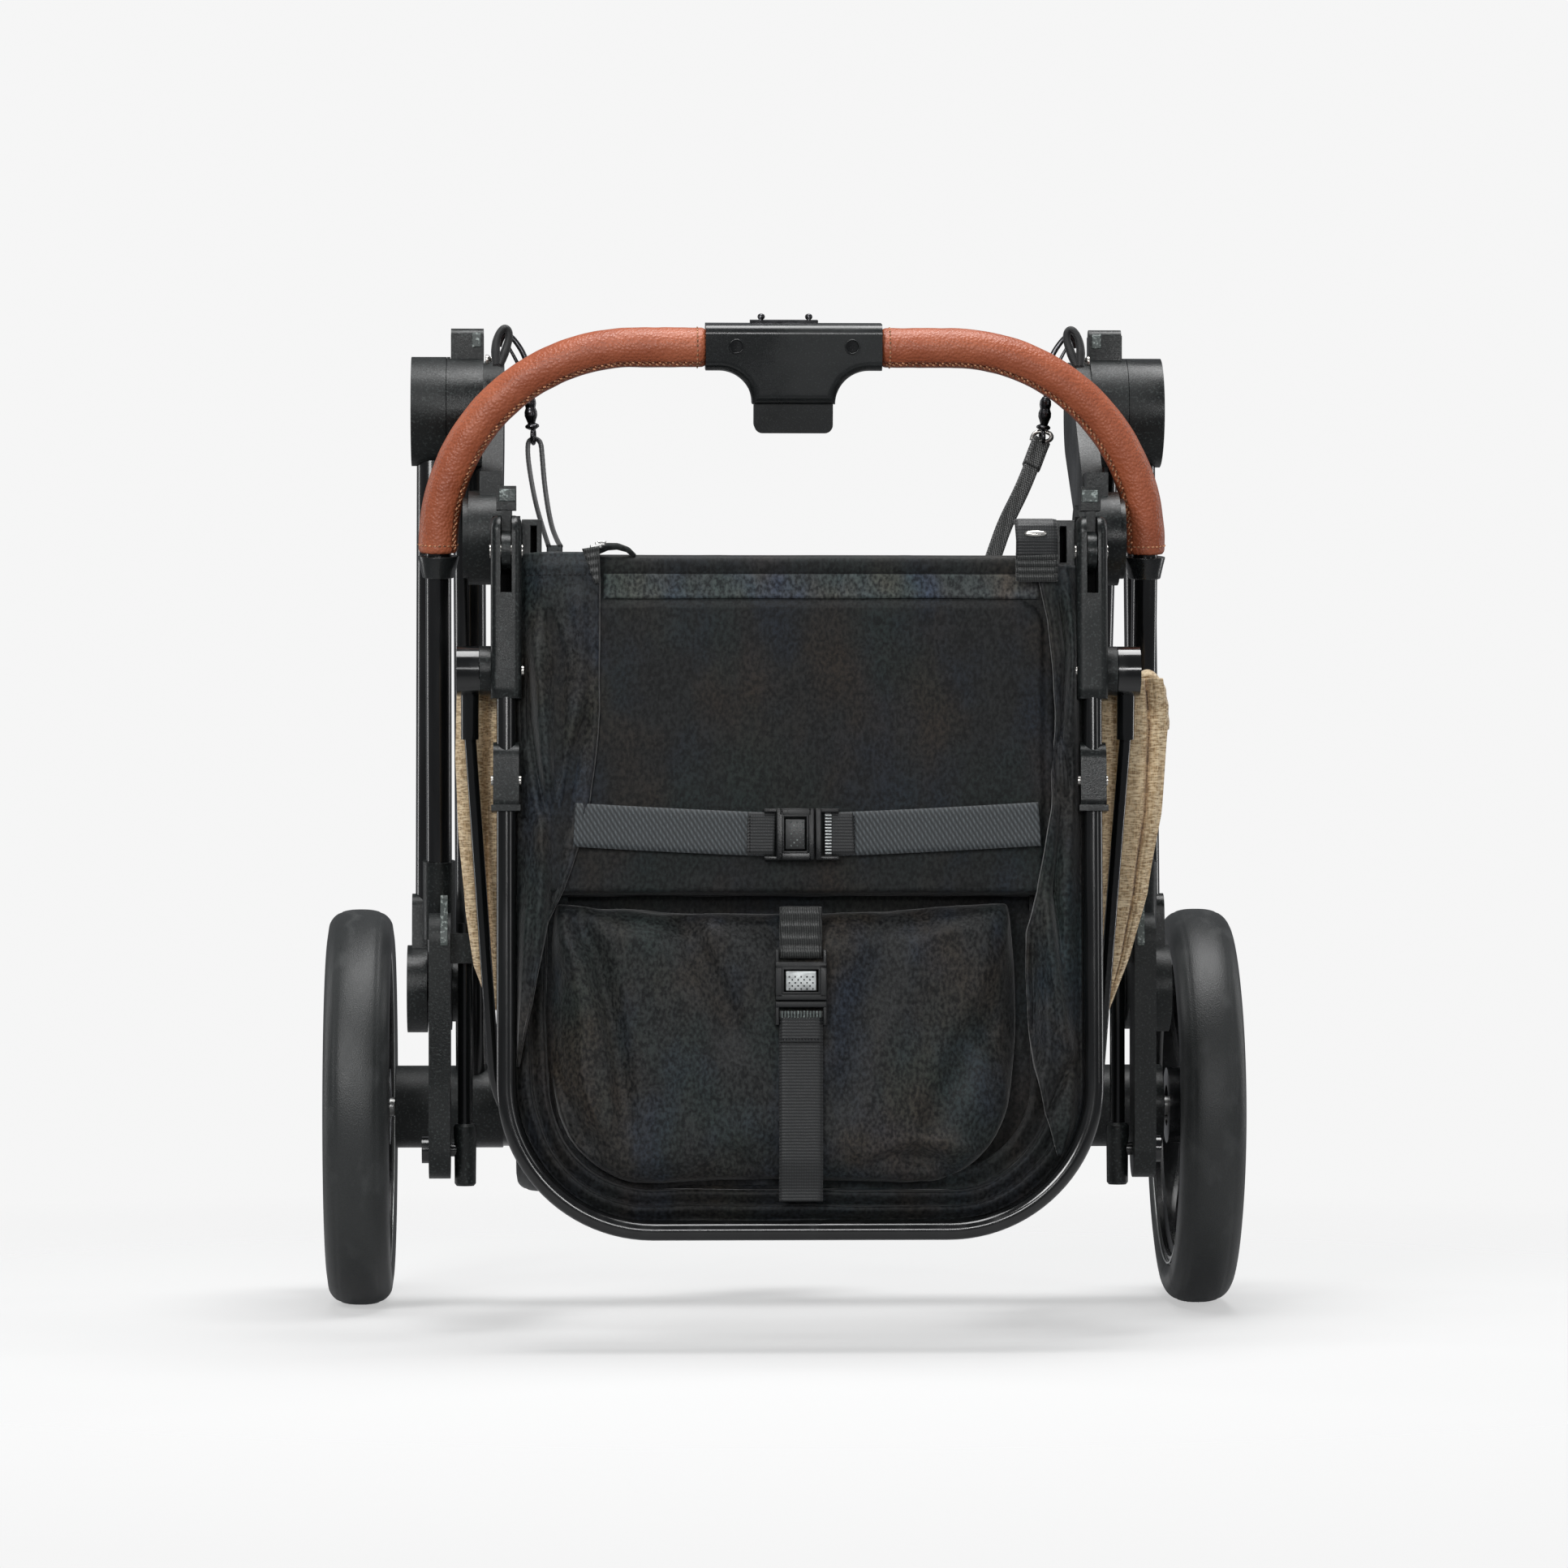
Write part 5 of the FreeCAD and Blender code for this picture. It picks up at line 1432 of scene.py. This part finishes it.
for name, side in SIDES:
    # The link plates' pale pad is a painted highlight on their upward face.
    skin("pad_link_" + name, "link_plates", sorted((side * 165.4, side * 174.8)), (494, 501), "pale",
        "rear_frame")
    skin("pad_hinge_" + name, "hinge_button_" + name, sorted((side * 187.6, side * 193.0)), (597, 606),
        "pale", "hinge_button_" + name)
    skin("pad_bracket_" + name, "fold_bracket_" + name, sorted((side * 206.2, side * 210.6)), (233, 263),
        "pale", "handle")
    # Near-black plates inside the receiver and fork slots: painted shade.
    bars("receiver_liner_" + name, ROW, [(sorted((side * 150.6, side * 161.0)), (295.5, 297), (450.5, 483),
        0.3)], "slot_shade", "seat")
    bars("fork_liner_" + name, ROW, [(sorted((side * 162.5, side * 178.7)), (304, 306), (436, 486), 0.3)],
         "slot_shade", "seat")
SCREW_X, SCREW_UP, SCREW_FACE = 34.5, 311.2, 16.0
rim_profile = [(-0.4, 3.75), (0.1, 3.8), (0.3, 4.05), (0.1, 4.35), (-0.4, 4.4)]
for index, screw_x in enumerate((-SCREW_X, SCREW_X)):
    spun(f"screw_rim_{index + 1}", rim_profile, lambda out, r, a,
        x=screw_x: at(HANDLE, x + r * math.cos(a), SCREW_FACE + out, SCREW_UP + r * math.sin(a)), 64,
        "housing", "handle")

ROD_X, ROD_Y = 196.0, -96.0
end_profile = [(88.5, 5.2), (90.0, 6.4), (116.0, 6.6), (117.0, 7.0), (124.0, 7.0), (125.6, 5.8),
    (126.0, 3.4), (88.5, 3.4)]
for name, side in SIDES:
    crisp(spun("rod_end_" + name, end_profile, lambda up, r, a,
        x=side * ROD_X: Vector((x + r * math.cos(a), ROD_Y + r * math.sin(a), up)) * MM, 48, "shell",
        "handle"))
plate_low, plate_high = [Vector(corner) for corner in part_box("strap_plate")]
plate_middle = (plate_low + plate_high) / 2
for number, x in enumerate((-19.3, 9.1)):
    knob = [(0.0, 0.9), (0.6, 1.1), (1.3, 1.9), (2.4, 2.3), (3.6, 1.9), (4.2, 0.9), (4.3, 0.02)]
    top = Vector((x * MM, plate_middle.y, plate_high.z - 3.4 * MM))
    spun(f"plate_knob_{number + 1}", knob, lambda z, r, a,
        top=top: top + Vector((r * math.cos(a), r * math.sin(a), z)) * MM, 28, "chrome", "handle",
        closed=False)

sweep("tether_tab", even([at(SEAT, -142.5, -60 + 1.4 * i, 8.0 - 1.2 * i) for i in range(12)], 1.0 * MM),
    lambda t: strap_section(9.5 * MM, 3.4 * MM, 8), "lining", "seat",
    side=Vector((0, 0, 1)))
